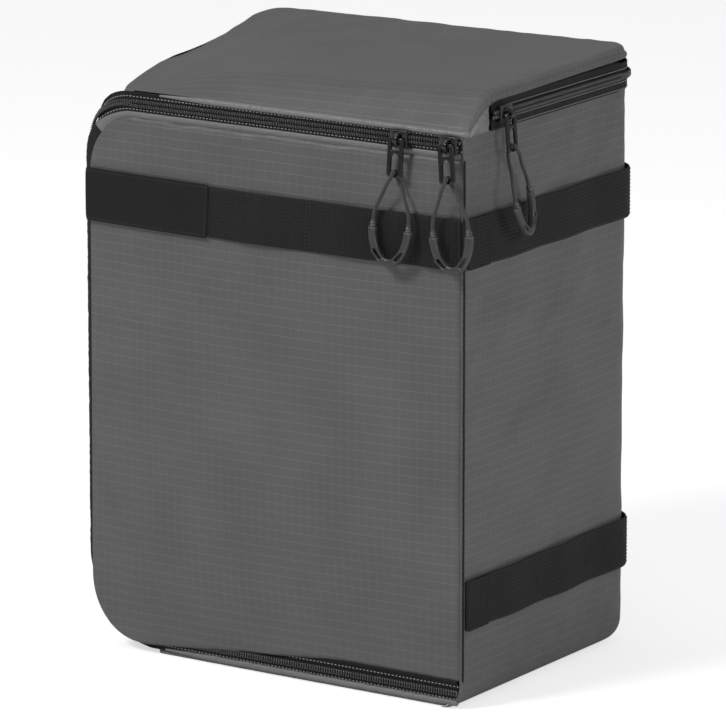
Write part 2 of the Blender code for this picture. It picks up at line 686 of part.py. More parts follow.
def door_zip_stations():
    """Return the door zip's stations: along the top, round the left corners, along the bottom."""
    stations = []
    top_radius, low_radius = UPPER_LEFT_RADIUS, LOWER_LEFT_RADIUS
    top_start = -DOOR_ZIP_SIDE + top_radius
    low_start = -DOOR_ZIP_SIDE + low_radius
    front = Vector((0.0, -1.0, 0.0))
    face_span = DOOR_ZIP_SIDE_FACE - DOOR_ZIP_FACE

    def add(x, y, z, tangent, roll, radial):
        outward = front * math.cos(roll) + radial * math.sin(roll)
        stations.append((Vector((x, -y, z)), outward.cross(tangent), outward))

    for x in spread(DOOR_ZIP_END, top_start, 4):
        add(x, DOOR_ZIP_FACE, DOOR_ZIP_HEIGHT, Vector((-1.0, 0.0, 0.0)), 0.0,
            Vector((0.0, 0.0, 1.0)))
    for step in range(1, ZIP_TURN_STEPS + 1):
        share = step / ZIP_TURN_STEPS
        turn = math.pi / 2 * share
        smooth = share * share * (3 - 2 * share)
        radial = Vector((-math.sin(turn), 0.0, math.cos(turn)))
        tangent = Vector((-math.cos(turn), 0.0, -math.sin(turn)))
        add(top_start + radial.x * top_radius, DOOR_ZIP_FACE + face_span * smooth,
            DOOR_ZIP_HEIGHT - top_radius + radial.z * top_radius, tangent,
            math.pi / 2 * smooth, radial)
    upper = DOOR_ZIP_HEIGHT - top_radius
    lower = DOOR_ZIP_BOTTOM + low_radius
    for z in spread(upper, lower, 5)[1:]:
        add(-DOOR_ZIP_SIDE, DOOR_ZIP_SIDE_FACE, z, Vector((0.0, 0.0, -1.0)), math.pi / 2,
            Vector((-1.0, 0.0, 0.0)))
    bottom_span = DOOR_ZIP_BOTTOM_FACE - DOOR_ZIP_SIDE_FACE
    for step in range(1, ZIP_TURN_STEPS + 1):
        share = step / ZIP_TURN_STEPS
        turn = math.pi / 2 * share
        smooth = share * share * (3 - 2 * share)
        radial = Vector((-math.cos(turn), 0.0, -math.sin(turn)))
        tangent = Vector((math.sin(turn), 0.0, -math.cos(turn)))
        add(low_start + radial.x * low_radius, DOOR_ZIP_SIDE_FACE + bottom_span * smooth,
            lower + radial.z * low_radius, tangent, math.pi / 2 * (1 - smooth), radial)
    for x in spread(low_start, DOOR_ZIP_LOW_END, 4)[1:]:
        add(x, DOOR_ZIP_BOTTOM_FACE, DOOR_ZIP_BOTTOM, Vector((1.0, 0.0, 0.0)), 0.0,
            Vector((0.0, 0.0, -1.0)))
    return stations


def lid_zip_place(run):
    """Return the place of the lid zip's middle line and the outward direction at a run."""
    place, out = plan(run)
    drop = rim_drop(place.x, place.y)
    point = place + out * (LID_ZIP_STAND_OFF - drop)
    point.z = LID_ZIP_HEIGHT - drop
    return point, out


def lid_zip_stations():
    """Return the lid zip's stations: back along the right, across the back, down the left."""
    start = HALF_DEPTH - LID_ZIP_RIGHT_START
    end = PLAN_RUN - HALF_DEPTH + LID_ZIP_LEFT_END
    runs = spread(start, SIDE_RUN, 4)
    runs += spread(SIDE_RUN, BACK_START, 6)[1:]
    runs += spread(BACK_START, LEFT_START, 6)[1:]
    runs += spread(LEFT_START, LEFT_START + CORNER_RUN, 6)[1:]
    runs += spread(LEFT_START + CORNER_RUN, end, 6)[1:]
    stations = []
    for run in runs:
        place, out = lid_zip_place(run)
        along = (lid_zip_place(run + SAMPLE_STEP)[0] - lid_zip_place(run - SAMPLE_STEP)[0])
        outward = (out - along.normalized() * out.dot(along.normalized())).normalized()
        stations.append((place, outward.cross(along.normalized()), outward))
    return stations


def make_zip(name, stations, body_names, widths):
    """Make a zip's two tapes and two coils, on either side of the slot that the slider's post runs in."""
    half_slot = POST_SLOT / 2
    coil_low, coil_high = TAPE / 2 + GAP, TAPE / 2 + GAP + COIL_HEIGHT
    for side, body, width in ((-1, body_names[0], widths[0]), (1, body_names[1], widths[1])):
        inner, outer = sorted((side * half_slot, side * (half_slot + width)))
        sweep(f"{name}_tape_{body}", stations, strip_profile(inner, outer, -TAPE / 2, TAPE / 2),
              BLACK_TAPE)
        inner, outer = sorted((side * half_slot, side * (half_slot + COIL_WIDTH)))
        sweep(f"{name}_coil_{body}", stations, strip_profile(inner, outer, coil_low, coil_high),
              BLACK_COIL)


def make_zips():
    """Make the door zip and the lid zip."""
    door_width = DOOR_ZIP_HEIGHT - POST_SLOT / 2 - DOOR_TOP - GAP
    shell_width = DOOR_ZIP_BOTTOM - POST_SLOT / 2 - BINDING - GAP
    make_zip("door_zip", door_zip_stations(), ("shell", "door"),
             (shell_width, min(door_width, DOOR_BOTTOM - DOOR_ZIP_BOTTOM - POST_SLOT / 2 - GAP)))
    lid_width = LID_EDGE_HEIGHT - LID_ZIP_HEIGHT - POST_SLOT / 2 - SKIN - GAP
    wall_width = LID_ZIP_HEIGHT - POST_SLOT / 2 - RIM_HEIGHT - GAP
    make_zip("lid_zip", lid_zip_stations(), ("shell", "lid"), (wall_width, lid_width))


def make_end_tab():
    """Make the folded fabric end that covers the start of the lid zip."""
    start = Vector((HALF_WIDTH - SKIN, -DOOR_ZIP_FACE + SLIDER_PLATE, 0.0))
    length = HALF_DEPTH - LID_ZIP_RIGHT_START - SLIDER_PLATE
    stations = []
    for share in spread(0.0, 1.0, 5):
        low = RIM_HEIGHT + GAP
        ramp = 1 - (1 - share * length / LID_RAMP) ** 2
        high = FOLD_HEIGHT - SKIN - 2 * GAP + (LID_EDGE_HEIGHT - FOLD_HEIGHT) * ramp
        place = start + Vector((0.0, share * length, (low + high) / 2))
        half = (high - low) / 2 - GAP
        stations.append((place, Vector((0.0, 0.0, half)), Vector((1.0, 0.0, 0.0))))
    sweep("lid_zip_end_fold", stations, [(-1, 0.0), (1, 0.0), (1, 2 * SKIN), (-1, 2 * SKIN)],
          GREY_FABRIC)


def loop_bulge(run, tacks):
    """Return how far a band stands off between two stitched tacks."""
    for start, end in zip(tacks, tacks[1:]):
        if start < run < end:
            return LOOP_BULGE * math.sin(math.pi * (run - start) / (end - start)) ** 2
    return 0.0


def door_tacks():
    """Return the x of each stitched tack on the door's band."""
    tacks = [DOOR_LAST_TACK - DOOR_TACK_PITCH * step for step in range(3)]
    return sorted(tacks + [DOOR_SIDE])


def make_door_band():
    """Make the webbing across the door and the bare label patch over its left end."""
    z = UPPER_BAND_HEIGHT
    left = door_left_edge(z) + GAP
    tacks = door_tacks()

    def station(x):
        place = door_surface(x, z)
        along = door_surface(x + SAMPLE_STEP, z) - door_surface(x - SAMPLE_STEP, z)
        up = door_surface(x, z + SAMPLE_STEP) - door_surface(x, z - SAMPLE_STEP)
        outward = along.cross(up).normalized()
        place += outward * (2 * GAP + loop_bulge(x, tacks))
        return place, outward.cross(along).normalized(), outward

    half = WEBBING_WIDTH / 2
    stations = [station(x) for x in spread(left, DOOR_SIDE - GAP, 22)]
    sweep("door_webbing", stations, strip_profile(-half, half, 0.0, WEBBING), BLACK_WEBBING)
    half += PATCH_MARGIN
    low = WEBBING + GAP
    stations = [station(x) for x in spread(left, tacks[0], 6)]
    sweep("label_patch", stations, strip_profile(-half, half, low, low + PATCH), BLACK_WEBBING)


def make_wall_bands():
    """Make the upper and lower webbing bands round the right wall, the back and the left wall."""
    start = HALF_DEPTH - DOOR_FACE + DOOR_SEAM_INSET + GAP
    end = PLAN_RUN - (HALF_DEPTH - LEFT_WALL_FRONT) - GAP
    tacks = [DOUBLED_END + SIDE_TACK_PITCH * step for step in range(3)]
    across = (LEFT_START - BACK_START) / 4
    tacks += [BACK_START + across * step for step in range(5)]
    tacks += [PLAN_RUN - DOUBLED_END - SIDE_TACK_PITCH * step for step in (2, 1, 0)]
    runs = spread(start, SIDE_RUN, 12)
    runs += spread(SIDE_RUN, BACK_START, 4)[1:]
    runs += spread(BACK_START, LEFT_START, 16)[1:]
    runs += spread(LEFT_START, LEFT_START + CORNER_RUN, 4)[1:]
    runs += spread(LEFT_START + CORNER_RUN, end, 12)[1:]
    half = WEBBING_WIDTH / 2
    for name, height in (("upper_webbing", UPPER_BAND_HEIGHT), ("lower_webbing", LOWER_BAND_HEIGHT)):
        stations = []
        for run in runs:
            place, up, outward = wall_frame(run, height)
            stations.append((place + outward * (2 * GAP + loop_bulge(run, tacks)), up, outward))
        sweep(name, stations, strip_profile(-half, half, 0.0, WEBBING), BLACK_WEBBING)


def slider_body(name, place, along, across, outward, rear_side):
    """Make one zip slider: a front plate, a post in the slot, a half rear plate and a bridge.

    The rear plate lies behind the tape on rear_side only, so that the other half of the zip
    can leave the slider when the cover opens.
    """
    tape_back = -TAPE / 2 - GAP
    top = TAPE / 2 + GAP + COIL_HEIGHT + GAP
    inner = COIL_WIDTH + POST_SLOT / 2 + GAP
    rail = rear_side * (inner + SLIDER_WALL)
    rear = rear_side * inner
    post = POST / 2
    outline = [
        (-rear_side * SLIDER_HALF_WIDTH, top),
        (-rear_side * post, top),
        (-rear_side * post, tape_back - SLIDER_WALL),
        (rail, tape_back - SLIDER_WALL),
        (rail, tape_back),
        (rear_side * post, tape_back),
        (rear_side * post, top),
        (rear, top),
        (rear, TAPE / 2 + GAP),
        (rail, TAPE / 2 + GAP),
        (rear_side * SLIDER_HALF_WIDTH, top),
        (rear_side * SLIDER_HALF_WIDTH, top + SLIDER_PLATE),
        (-rear_side * SLIDER_HALF_WIDTH, top + SLIDER_PLATE),
    ]
    half = SLIDER_LENGTH / 2
    stations = [(place + along * shift, across, outward) for shift in (-half, half)]
    body = sweep(name, stations, outline, BLACK_METAL)
    base = top + SLIDER_PLATE
    arch = []
    for step in range(9):
        turn = math.pi * step / 8
        reach = Vector((math.cos(turn), math.sin(turn)))
        centre = place + across * (reach.x * BRIDGE_SPAN / 2)
        centre += outward * (base - BRIDGE_BAR / 2 + reach.y * BRIDGE_RISE)
        out = (across * reach.x * BRIDGE_RISE + outward * reach.y * BRIDGE_SPAN / 2).normalized()
        arch.append((centre, along, out))
    bar, width = BRIDGE_BAR / 2, BRIDGE_WIDTH / 2
    bridge = sweep(name + "_bridge", arch, strip_profile(-width, width, -bar, bar), BLACK_METAL,
                   CUTTERS)
    combine(body, bridge, "UNION")
    return base


def flat_piece(name, outlines, thickness, frame, spec, bevel=0.0):
    """Make a flat piece from closed outlines in a frame's plane, the first one cut by the rest."""
    curve = bpy.data.curves.new(name, "CURVE")
    curve.dimensions = "2D"
    curve.fill_mode = "BOTH"
    curve.extrude = thickness / 2 - bevel
    curve.bevel_depth = bevel
    curve.bevel_resolution = 0
    curve.offset = -bevel
    for outline in outlines:
        spline = curve.splines.new("POLY")
        spline.points.add(len(outline) - 1)
        for point, (x, y) in zip(spline.points, outline):
            point.co = (x, y, 0.0, 1.0)
        spline.use_cyclic_u = True
    drawn = bpy.data.objects.new(name + "_drawn", curve)
    CUTTERS.objects.link(drawn)
    bpy.context.view_layer.update()
    graph = bpy.context.evaluated_depsgraph_get()
    mesh = bpy.data.meshes.new_from_object(drawn.evaluated_get(graph))
    bpy.data.objects.remove(drawn, do_unlink=True)
    shape = bmesh.new()
    shape.from_mesh(mesh)
    bmesh.ops.remove_doubles(shape, verts=shape.verts, dist=MERGE_DISTANCE)
    bmesh.ops.transform(shape, matrix=frame, verts=shape.verts)
    return finish_mesh(name, shape, spec)


def rounded_slot(width, height, centre, steps=4):
    """Return a slot's outline with half round ends, upright if it is taller than wide."""
    radius = min(width, height) / 2
    reach = max(width, height) / 2 - radius
    points = []
    for end in (1, -1):
        for step in range(steps + 1):
            turn = math.pi * step / steps + (0 if end == 1 else math.pi)
            x, y = radius * math.cos(turn), radius * math.sin(turn) + end * reach
            if width > height:
                x, y = y, -x
            points.append((centre[0] + x, centre[1] + y))
    return points


def rounded_box(width, low, high, radius, steps=3):
    """Return a rectangle's outline with round corners, centred on the upright axis."""
    points = []
    corners = ((width / 2 - radius, high - radius, 0), (radius - width / 2, high - radius, 1),
               (radius - width / 2, low + radius, 2), (width / 2 - radius, low + radius, 3))
    for x, y, quarter in corners:
        for step in range(steps + 1):
            turn = math.pi / 2 * (quarter + step / steps)
            points.append((x + radius * math.cos(turn), y + radius * math.sin(turn)))
    return points


TAB_TOP = TAB_BAR / 2
TAB_WINDOW_LOW = -TAB_BAR / 2 - TAB_EYE
CORD_SLOT_HIGH = TAB_WINDOW_LOW - TAB_BAR
CORD_SLOT_LOW = TAB_TOP - TAB_LENGTH + TAB_BAR


GRIP_FLAT_SHARE = 0.14
GRIP_SLOT_TURN = math.radians(52.0)
GRIP_SLOT_LEAN = math.radians(44.0)


def grip_depth_share(sine):
    """Return how deep the grip's curve lies, flatter at its bottom than an ellipse."""
    return sine * (1 - GRIP_FLAT_SHARE + GRIP_FLAT_SHARE * abs(sine))


def grip_outline():
    """Return the outline of the U shaped grip, with its legs' tops at height zero."""
    half = GRIP_WIDTH / 2
    inner = half - GRIP_BAND
    outer_points, inner_points = [], []
    for step in range(13):
        turn = math.pi + math.pi * step / 12
        x, y = math.cos(turn), grip_depth_share(math.sin(turn))
        outer_points.append((half * x, GRIP_HEIGHT * y))
        inner_points.append((inner * x, (GRIP_HEIGHT - GRIP_BAND) * y))
    return outer_points + inner_points[::-1]


def grip_slots():
    """Return the outlines of the two slots through the grip's lower corners."""
    slots = []
    for side in (-1, 1):
        middle_x = (GRIP_WIDTH / 2 - GRIP_BAND / 2) * math.cos(GRIP_SLOT_TURN)
        middle_y = (GRIP_BAND / 2 - GRIP_HEIGHT) * grip_depth_share(math.sin(GRIP_SLOT_TURN))
        lean = GRIP_SLOT_LEAN
        points = []
        for x, y in rounded_slot(GRIP_SLOT_LENGTH, GRIP_SLOT_WIDTH, (0.0, 0.0), 2):
            points.append((side * (middle_x + x * math.cos(lean) - y * math.sin(lean)),
                           middle_y + x * math.sin(lean) + y * math.cos(lean)))
        slots.append(points)
    return slots


CORD_LEG_SHARES = [(1.0, 1.0, 0.0), (0.96, 0.72, 0.0), (0.56, 0.40, 0.35), (0.20, 0.16, 1.0)]
CORD_BEND_SHARES = [(0.0, 1.0), (0.8, 0.8), (1.15, 0.0), (0.8, -0.8), (0.0, -1.0)]


def make_pull(name, pivot, sideways, outward, swing, twist):
    """Make a slider's pull: a slotted metal tab, a cord loop through it and a moulded grip.

    The loop and the grip lean along the wall by swing and turn about the upright by twist.
    """
    upright = outward.cross(sideways).normalized()
    tilt = Matrix.Rotation(-PULL_LEAN, 4, sideways)
    axes = Matrix((sideways, upright, outward)).transposed().to_4x4()
    frame = Matrix.Translation(pivot) @ tilt @ axes
    tab_outline = rounded_box(TAB_WIDTH, TAB_TOP - TAB_LENGTH, TAB_TOP, TAB_BAR)
    window = rounded_box(TAB_WIDTH - 2 * TAB_RAIL, TAB_WINDOW_LOW, -TAB_BAR / 2, TAB_BAR / 4, 1)
    slot = rounded_slot(TAB_WIDTH - 2 * TAB_RAIL, CORD_SLOT_HIGH - CORD_SLOT_LOW,
                        (0.0, (CORD_SLOT_HIGH + CORD_SLOT_LOW) / 2))
    flat_piece(name + "_tab", [tab_outline, window, slot], TAB_THICKNESS, frame, BLACK_METAL)
    hang = Matrix.Translation((0.0, CORD_SLOT_LOW, 0.0))
    lower = frame @ hang @ Matrix.Rotation(swing, 4, "Z") @ Matrix.Rotation(twist, 4, "Y")
    grip_frame = lower @ Matrix.Translation((0.0, -CORD_DROP, 0.0))
    flat_piece(name + "_grip", [grip_outline(), *grip_slots()], GRIP_THICKNESS, grip_frame,
               GREY_GRIP)
    half = GRIP_WIDTH / 2 - GRIP_BAND / 2
    turn_radius = TAB_BAR / 2 + 2 * GAP + CORD_DIAMETER / 2
    bar = -TAB_BAR / 2
    leg = [Vector((-across * half, GAP - down * CORD_DROP, depth * turn_radius))
           for across, down, depth in CORD_LEG_SHARES]
    bend = [Vector((0.0, bar + rise * turn_radius, depth * turn_radius))
            for rise, depth in CORD_BEND_SHARES]
    other_leg = [Vector((-point.x, point.y, -point.z)) for point in reversed(leg)]
    points = smooth_route(leg + bend + other_leg, 2)
    tube = bpy.data.curves.new(name + "_cord", "CURVE")
    tube.dimensions = "3D"
    tube.bevel_depth = CORD_DIAMETER / 2
    tube.bevel_resolution = 1
    tube.use_fill_caps = True
    spline = tube.splines.new("POLY")
    spline.points.add(len(points) - 1)
    for point, place in zip(spline.points, points):
        point.co = (*(lower @ place), 1.0)
    tube.materials.append(material(GREY_CORD))
    cord = bpy.data.objects.new(name + "_cord", tube)
    PARTS.objects.link(cord)


def smooth_route(route, steps):
    """Return points along a smooth curve through a route's own points."""
    padded = [route[0] * 2 - route[1], *route, route[-1] * 2 - route[-2]]
    points = []
    for before, start, end, after in zip(padded, padded[1:], padded[2:], padded[3:]):
        for step in range(steps):
            share = step / steps
            pull = (start * 2 + (end - before) * share
                    + (before * 2 - start * 5 + end * 4 - after) * share ** 2
                    + (start * 3 - before - end * 3 + after) * share ** 3)
            points.append(pull / 2)
    return points + [route[-1]]


DOOR_SLIDER_INSETS = {"door_slider_left": 0.0400, "door_slider_right": 0.0065}
DOOR_PULL_SWINGS = {"door_slider_left": math.radians(-1.5), "door_slider_right": math.radians(1.0)}
LID_SLIDER_INSET = 0.0100
LID_PULL_SWING = math.radians(14.0)
LID_PULL_TWIST = math.radians(12.0)


def make_sliders():
    """Make the three sliders and their pulls."""
    front, up = Vector((0.0, -1.0, 0.0)), Vector((0.0, 0.0, 1.0))
    right, back = Vector((1.0, 0.0, 0.0)), Vector((0.0, 1.0, 0.0))
    bar_gap = BRIDGE_RISE / 2 - BRIDGE_BAR / 4
    for name, inset in DOOR_SLIDER_INSETS.items():
        place = Vector((DOOR_ZIP_END - inset, -DOOR_ZIP_FACE, DOOR_ZIP_HEIGHT))
        base = slider_body(name, place, right, -up, front, 1)
        make_pull(name.replace("slider", "pull"), place + front * (base + bar_gap), right, front,
                  DOOR_PULL_SWINGS[name], 0.0)
    place, _ = lid_zip_place(HALF_DEPTH - LID_ZIP_RIGHT_START + LID_SLIDER_INSET)
    base = slider_body("lid_slider", place, back, up, right, -1)
    make_pull("lid_pull", place + right * (base + bar_gap), back, right, LID_PULL_SWING,
              LID_PULL_TWIST)


def make_dividers():
    """Make the shelf and the two upright columns, each with two strips of hook tape."""
    inner_x = HALF_WIDTH - WALL - DIVIDER_CLEARANCE
    back = HALF_DEPTH - WALL - DIVIDER_CLEARANCE
    front = -DOOR_BACK + 2 * DIVIDER_CLEARANCE
    reach = HOOK_STRIP + GAP
    half = DIVIDER / 2
    end = inner_x - reach
    boxed("shelf_divider", (-end, front, SHELF_HEIGHT - half), (end, back, SHELF_HEIGHT + half),
          LINING_CLOTH, back_radius=BACK_RADIUS - WALL)
    flap = HOOK_STRIP_WIDTH / 2
    for name, x in (("shelf_hook_strip_left", -end - reach), ("shelf_hook_strip_right", end + GAP)):
        boxed(name, (x, front + HOOK_STRIP_MARGIN, SHELF_HEIGHT - half),
              (x + HOOK_STRIP, back - HOOK_STRIP_MARGIN, SHELF_HEIGHT + half), HOOK_TAPE)
    floor = WALL + DIVIDER_CLEARANCE
    for side, x in (("left", -COLUMN_PLACE), ("right", COLUMN_PLACE)):
        low = floor + reach
        boxed(f"column_divider_{side}", (x - half, front, low),
              (x + half, back - reach, floor + COLUMN_HEIGHT), LINING_CLOTH, bevel=DIVIDER / 4)
        boxed(f"column_{side}_hook_strip_base", (x - flap / 2, front + HOOK_STRIP_MARGIN, floor),
              (x + flap / 2, back - HOOK_STRIP_MARGIN, floor + HOOK_STRIP), HOOK_TAPE)
        boxed(f"column_{side}_hook_strip_back", (x - flap / 2, back - HOOK_STRIP,
                                                 floor + HOOK_STRIP_MARGIN),
              (x + flap / 2, back, floor + COLUMN_HEIGHT - HOOK_STRIP_MARGIN), HOOK_TAPE)


make_walls()
make_base()
make_lid()
make_rail()
make_door()
make_hinge_seam()
make_zips()
make_end_tab()
make_door_band()
make_wall_bands()
make_sliders()
make_dividers()
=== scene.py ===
"""Looks for a padded camera bag insert, built round its packed frame.

Metres, +Z up, in the row frame: +X is the door's hinge side, -Y is the front, +Y is the back.
"""

import json
import math

import bmesh
import bpy
import numpy as np
from bpy.props import FloatProperty, FloatVectorProperty, IntProperty, PointerProperty
from mathutils import Matrix, Vector, noise


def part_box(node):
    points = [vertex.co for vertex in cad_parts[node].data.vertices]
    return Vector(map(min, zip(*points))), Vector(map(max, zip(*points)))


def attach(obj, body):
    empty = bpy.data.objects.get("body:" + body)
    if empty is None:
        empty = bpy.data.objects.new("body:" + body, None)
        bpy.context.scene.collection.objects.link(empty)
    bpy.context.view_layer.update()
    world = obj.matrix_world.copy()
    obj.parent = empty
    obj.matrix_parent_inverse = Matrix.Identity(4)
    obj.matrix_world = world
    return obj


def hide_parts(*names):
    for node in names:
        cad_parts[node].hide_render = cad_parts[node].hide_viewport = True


bl_info = {
    "name": "Camera bag insert looks",
    "version": (1, 0, 0),
    "blender": (4, 5, 0),
    "location": "3D View > Sidebar > Bag insert",
    "description": "Dresses the packed frame of a padded camera bag insert",
    "category": "Object",
}

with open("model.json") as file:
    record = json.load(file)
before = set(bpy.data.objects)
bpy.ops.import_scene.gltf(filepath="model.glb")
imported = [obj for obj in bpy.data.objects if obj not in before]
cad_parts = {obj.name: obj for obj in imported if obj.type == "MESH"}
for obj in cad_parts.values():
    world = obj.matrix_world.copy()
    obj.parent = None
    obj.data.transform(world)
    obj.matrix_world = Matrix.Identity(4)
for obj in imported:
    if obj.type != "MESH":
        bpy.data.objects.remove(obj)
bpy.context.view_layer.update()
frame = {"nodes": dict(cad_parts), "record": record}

# Shell and lid, as the frame has them
HALF_WIDTH = 0.133
HALF_DEPTH = 0.094
FOLD_HEIGHT = 0.342
LID_EDGE_HEIGHT = 0.3575
LID_BACK_RISE = 0.003
LID_SAG = 0.004
LID_CORNER_LIFT = 0.004
LID_RAMP = 0.032
LID_EDGE_RADIUS = 0.004
LID_SIDE_MARGIN = 0.0004
WALL_BULGE = 0.0010
BACK_RADIUS = 0.020
BASE_RADIUS = 0.014
LOWER_LEFT_RADIUS = 0.048
UPPER_LEFT_RADIUS = 0.034
CORNER_TAPER = 0.075
BACK_LEFT_DROP_SHARE = 0.25
LEAN_RUN = 0.060
RIM_HEIGHT = 0.3385
LEFT_WALL_FRONT = 0.0768
BASE_FRONT = 0.0890
BASE_CORNER_TRIM = 0.0048

# Door
DOOR_FACE = 0.0965
DOOR_BACK = 0.0845
DOOR_TOP = 0.3265
DOOR_BOTTOM = 0.0165
DOOR_SIDE = 0.1315
DOOR_RIGHT_RADIUS = 0.003
DOOR_CROWN = 0.0095
DOOR_SEAM_INSET = 0.0012

# Zips
GAP = 0.0003
TAPE = 0.0007
POST_SLOT = 0.0012
DOOR_ZIP_HEIGHT = 0.3345
DOOR_ZIP_FACE = 0.0955
DOOR_ZIP_SIDE = 0.1336
DOOR_ZIP_SIDE_FACE = 0.0855
DOOR_ZIP_BOTTOM = 0.0098
DOOR_ZIP_BOTTOM_FACE = 0.0945
DOOR_ZIP_END = 0.1300
DOOR_ZIP_LOW_END = 0.1285
ZIP_TURN_STEPS = 18
LID_ZIP_HEIGHT = 0.3480
LID_ZIP_STAND_OFF = 0.0006
LID_ZIP_RIGHT_START = 0.070
LID_ZIP_LEFT_END = 0.052

# Webbing
WEBBING = 0.0013
WEBBING_WIDTH = 0.030
UPPER_BAND_HEIGHT = 0.277
LOWER_BAND_HEIGHT = 0.063
LOOP_BULGE = 0.0016
DOOR_TACK_PITCH = 0.070
DOOR_LAST_TACK = 0.100
SIDE_TACK_PITCH = 0.0565
DOUBLED_END = 0.0195
PATCH = 0.0008
PATCH_MARGIN = 0.0010

DIAGONAL = 1 - math.sqrt(0.5)
SIDE_RUN = 2 * HALF_DEPTH - BACK_RADIUS
CORNER_RUN = BACK_RADIUS * math.pi / 2
BACK_RUN = 2 * HALF_WIDTH - 2 * BACK_RADIUS
BACK_START = SIDE_RUN + CORNER_RUN
LEFT_START = BACK_START + BACK_RUN
PLAN_RUN = LEFT_START + CORNER_RUN + SIDE_RUN
SAMPLE_STEP = 0.0005

RIGHT = Vector((1.0, 0.0, 0.0))
BACK = Vector((0.0, 1.0, 0.0))
UP = Vector((0.0, 0.0, 1.0))


# Shapes of the bag's surfaces

def spread(start, end, count):
    """Return count + 1 evenly spaced values from start to end."""
    return [start + (end - start) * step / count for step in range(count + 1)]


def limited(value, low, high):
    """Return the value, kept between two others."""
    return min(max(value, low), high)


def plan(run):
    """Return the place and outward direction at a run along right wall, back and left wall."""
    centre_x = HALF_WIDTH - BACK_RADIUS
    centre_y = HALF_DEPTH - BACK_RADIUS
    if run <= SIDE_RUN:
        return Vector((HALF_WIDTH, run - HALF_DEPTH, 0.0)), RIGHT.copy()
    if run <= BACK_START:
        turn = (run - SIDE_RUN) / BACK_RADIUS
        out = Vector((math.cos(turn), math.sin(turn), 0.0))
        return Vector((centre_x, centre_y, 0.0)) + out * BACK_RADIUS, out
    if run <= LEFT_START:
        return Vector((centre_x - (run - BACK_START), HALF_DEPTH, 0.0)), BACK.copy()
    if run <= LEFT_START + CORNER_RUN:
        turn = math.pi / 2 + (run - LEFT_START) / BACK_RADIUS
        out = Vector((math.cos(turn), math.sin(turn), 0.0))
        return Vector((-centre_x, centre_y, 0.0)) + out * BACK_RADIUS, out
    down = run - LEFT_START - CORNER_RUN
    return Vector((-HALF_WIDTH, centre_y - down, 0.0)), -RIGHT


def front_share(y):
    """Return 1 at the front edge, easing to 0 where the soft left corners have straightened."""
    share = limited((y + HALF_DEPTH) / CORNER_TAPER, 0.0, 1.0)
    return (1 - share) ** 2 * (1 + 2 * share)


def base_radius(x, y):
    """Return the radius of the bottom edge, widest at the left front."""
    if x > 0:
        return BASE_RADIUS
    return BASE_RADIUS + (LOWER_LEFT_RADIUS - BASE_RADIUS) * front_share(y)


def rim_drop(x, y):
    """Return how far the top edge of the wall is drawn down and in, which it is on the left."""
    left = limited((HALF_WIDTH / 2 - x) / HALF_WIDTH, 0.0, 1.0)
    share = BACK_LEFT_DROP_SHARE + (1 - BACK_LEFT_DROP_SHARE) * front_share(y)
    back = limited((HALF_DEPTH - y) / CORNER_TAPER, 0.0, 1.0)
    return DIAGONAL * UPPER_LEFT_RADIUS * share * left * back


def round_over(radius, distance):
    """Return how far a rounded edge falls away at a distance from where it would be sharp."""
    short = limited(radius - distance, 0.0, radius)
    return radius - math.sqrt(radius * radius - short * short)


def wall_surface(run, z):
    """Return a point of the walls' outer surface."""
    place, out = plan(run)
    draw = rim_drop(place.x, place.y)
    lean = limited((z - RIM_HEIGHT + draw + LEAN_RUN) / LEAN_RUN, 0.0, 1.0)
    inward = round_over(base_radius(place.x, place.y), z) + draw * lean * lean
    along = math.sin(math.pi * limited(z / RIM_HEIGHT, 0.0, 1.0))
    if run < SIDE_RUN:
        side = math.sin(math.pi * run / SIDE_RUN)
    elif run > PLAN_RUN - SIDE_RUN:
        side = math.sin(math.pi * (PLAN_RUN - run) / SIDE_RUN)
    else:
        side = math.sin(math.pi * limited((run - BACK_START) / BACK_RUN, 0.0, 1.0))
    lifted = place + out * (WALL_BULGE * along * max(side, 0.0) - inward)
    lifted.z = z
    return lifted


def wall_frame(run, z):
    """Return the place, the upward direction along the wall and the outward normal."""
    place = wall_surface(run, z)
    along = wall_surface(run + SAMPLE_STEP, z) - wall_surface(run - SAMPLE_STEP, z)
    up = wall_surface(run, z + SAMPLE_STEP) - wall_surface(run, z - SAMPLE_STEP)
    outward = along.cross(up).normalized()
    return place, outward.cross(along).normalized(), outward


def lid_outline(y, margin):
    """Return the lid's left and right edges at a depth, a margin inside the walls' outline."""
    back = HALF_DEPTH - BACK_RADIUS
    near_fold = max(1 - (y + HALF_DEPTH) / LID_RAMP, 0.0) ** 2
    left = HALF_WIDTH - rim_drop(-HALF_WIDTH, y) - margin
    left -= UPPER_LEFT_RADIUS * (1 - DIAGONAL) * near_fold
    right = HALF_WIDTH - margin
    if y > back:
        radius = BACK_RADIUS - margin
        across = min(y - back, radius)
        fall = radius - math.sqrt(radius * radius - across * across)
        left -= fall
        right -= fall
    return -left, right


def lid_top(x, y, left, right):
    """Return the height of the lid's outer surface: ramped at the fold, sagging in the middle."""
    depth = y + HALF_DEPTH
    ramp = 1 - (1 - limited(depth / LID_RAMP, 0.0, 1.0)) ** 2
    share = limited((x - left) / (right - left), 0.0, 1.0)
    along = depth / (2 * HALF_DEPTH)
    edge = FOLD_HEIGHT + (LID_EDGE_HEIGHT - FOLD_HEIGHT) * ramp
    edge += LID_BACK_RISE * along * share - rim_drop(-HALF_WIDTH, y) * (1 - share) * ramp
    inside = min(x - left, right - x, HALF_DEPTH - y)
    roll = LID_EDGE_RADIUS - round_over(LID_EDGE_RADIUS, max(inside, 0.0))
    sag = LID_SAG * math.sin(math.pi * share) * math.sin(math.pi * along)
    corner = max(2 * along - 1, 0.0) * min(inside / LID_RAMP, 1.0)
    return edge + roll * ramp - sag + LID_CORNER_LIFT * (1 - share) ** 2 * corner


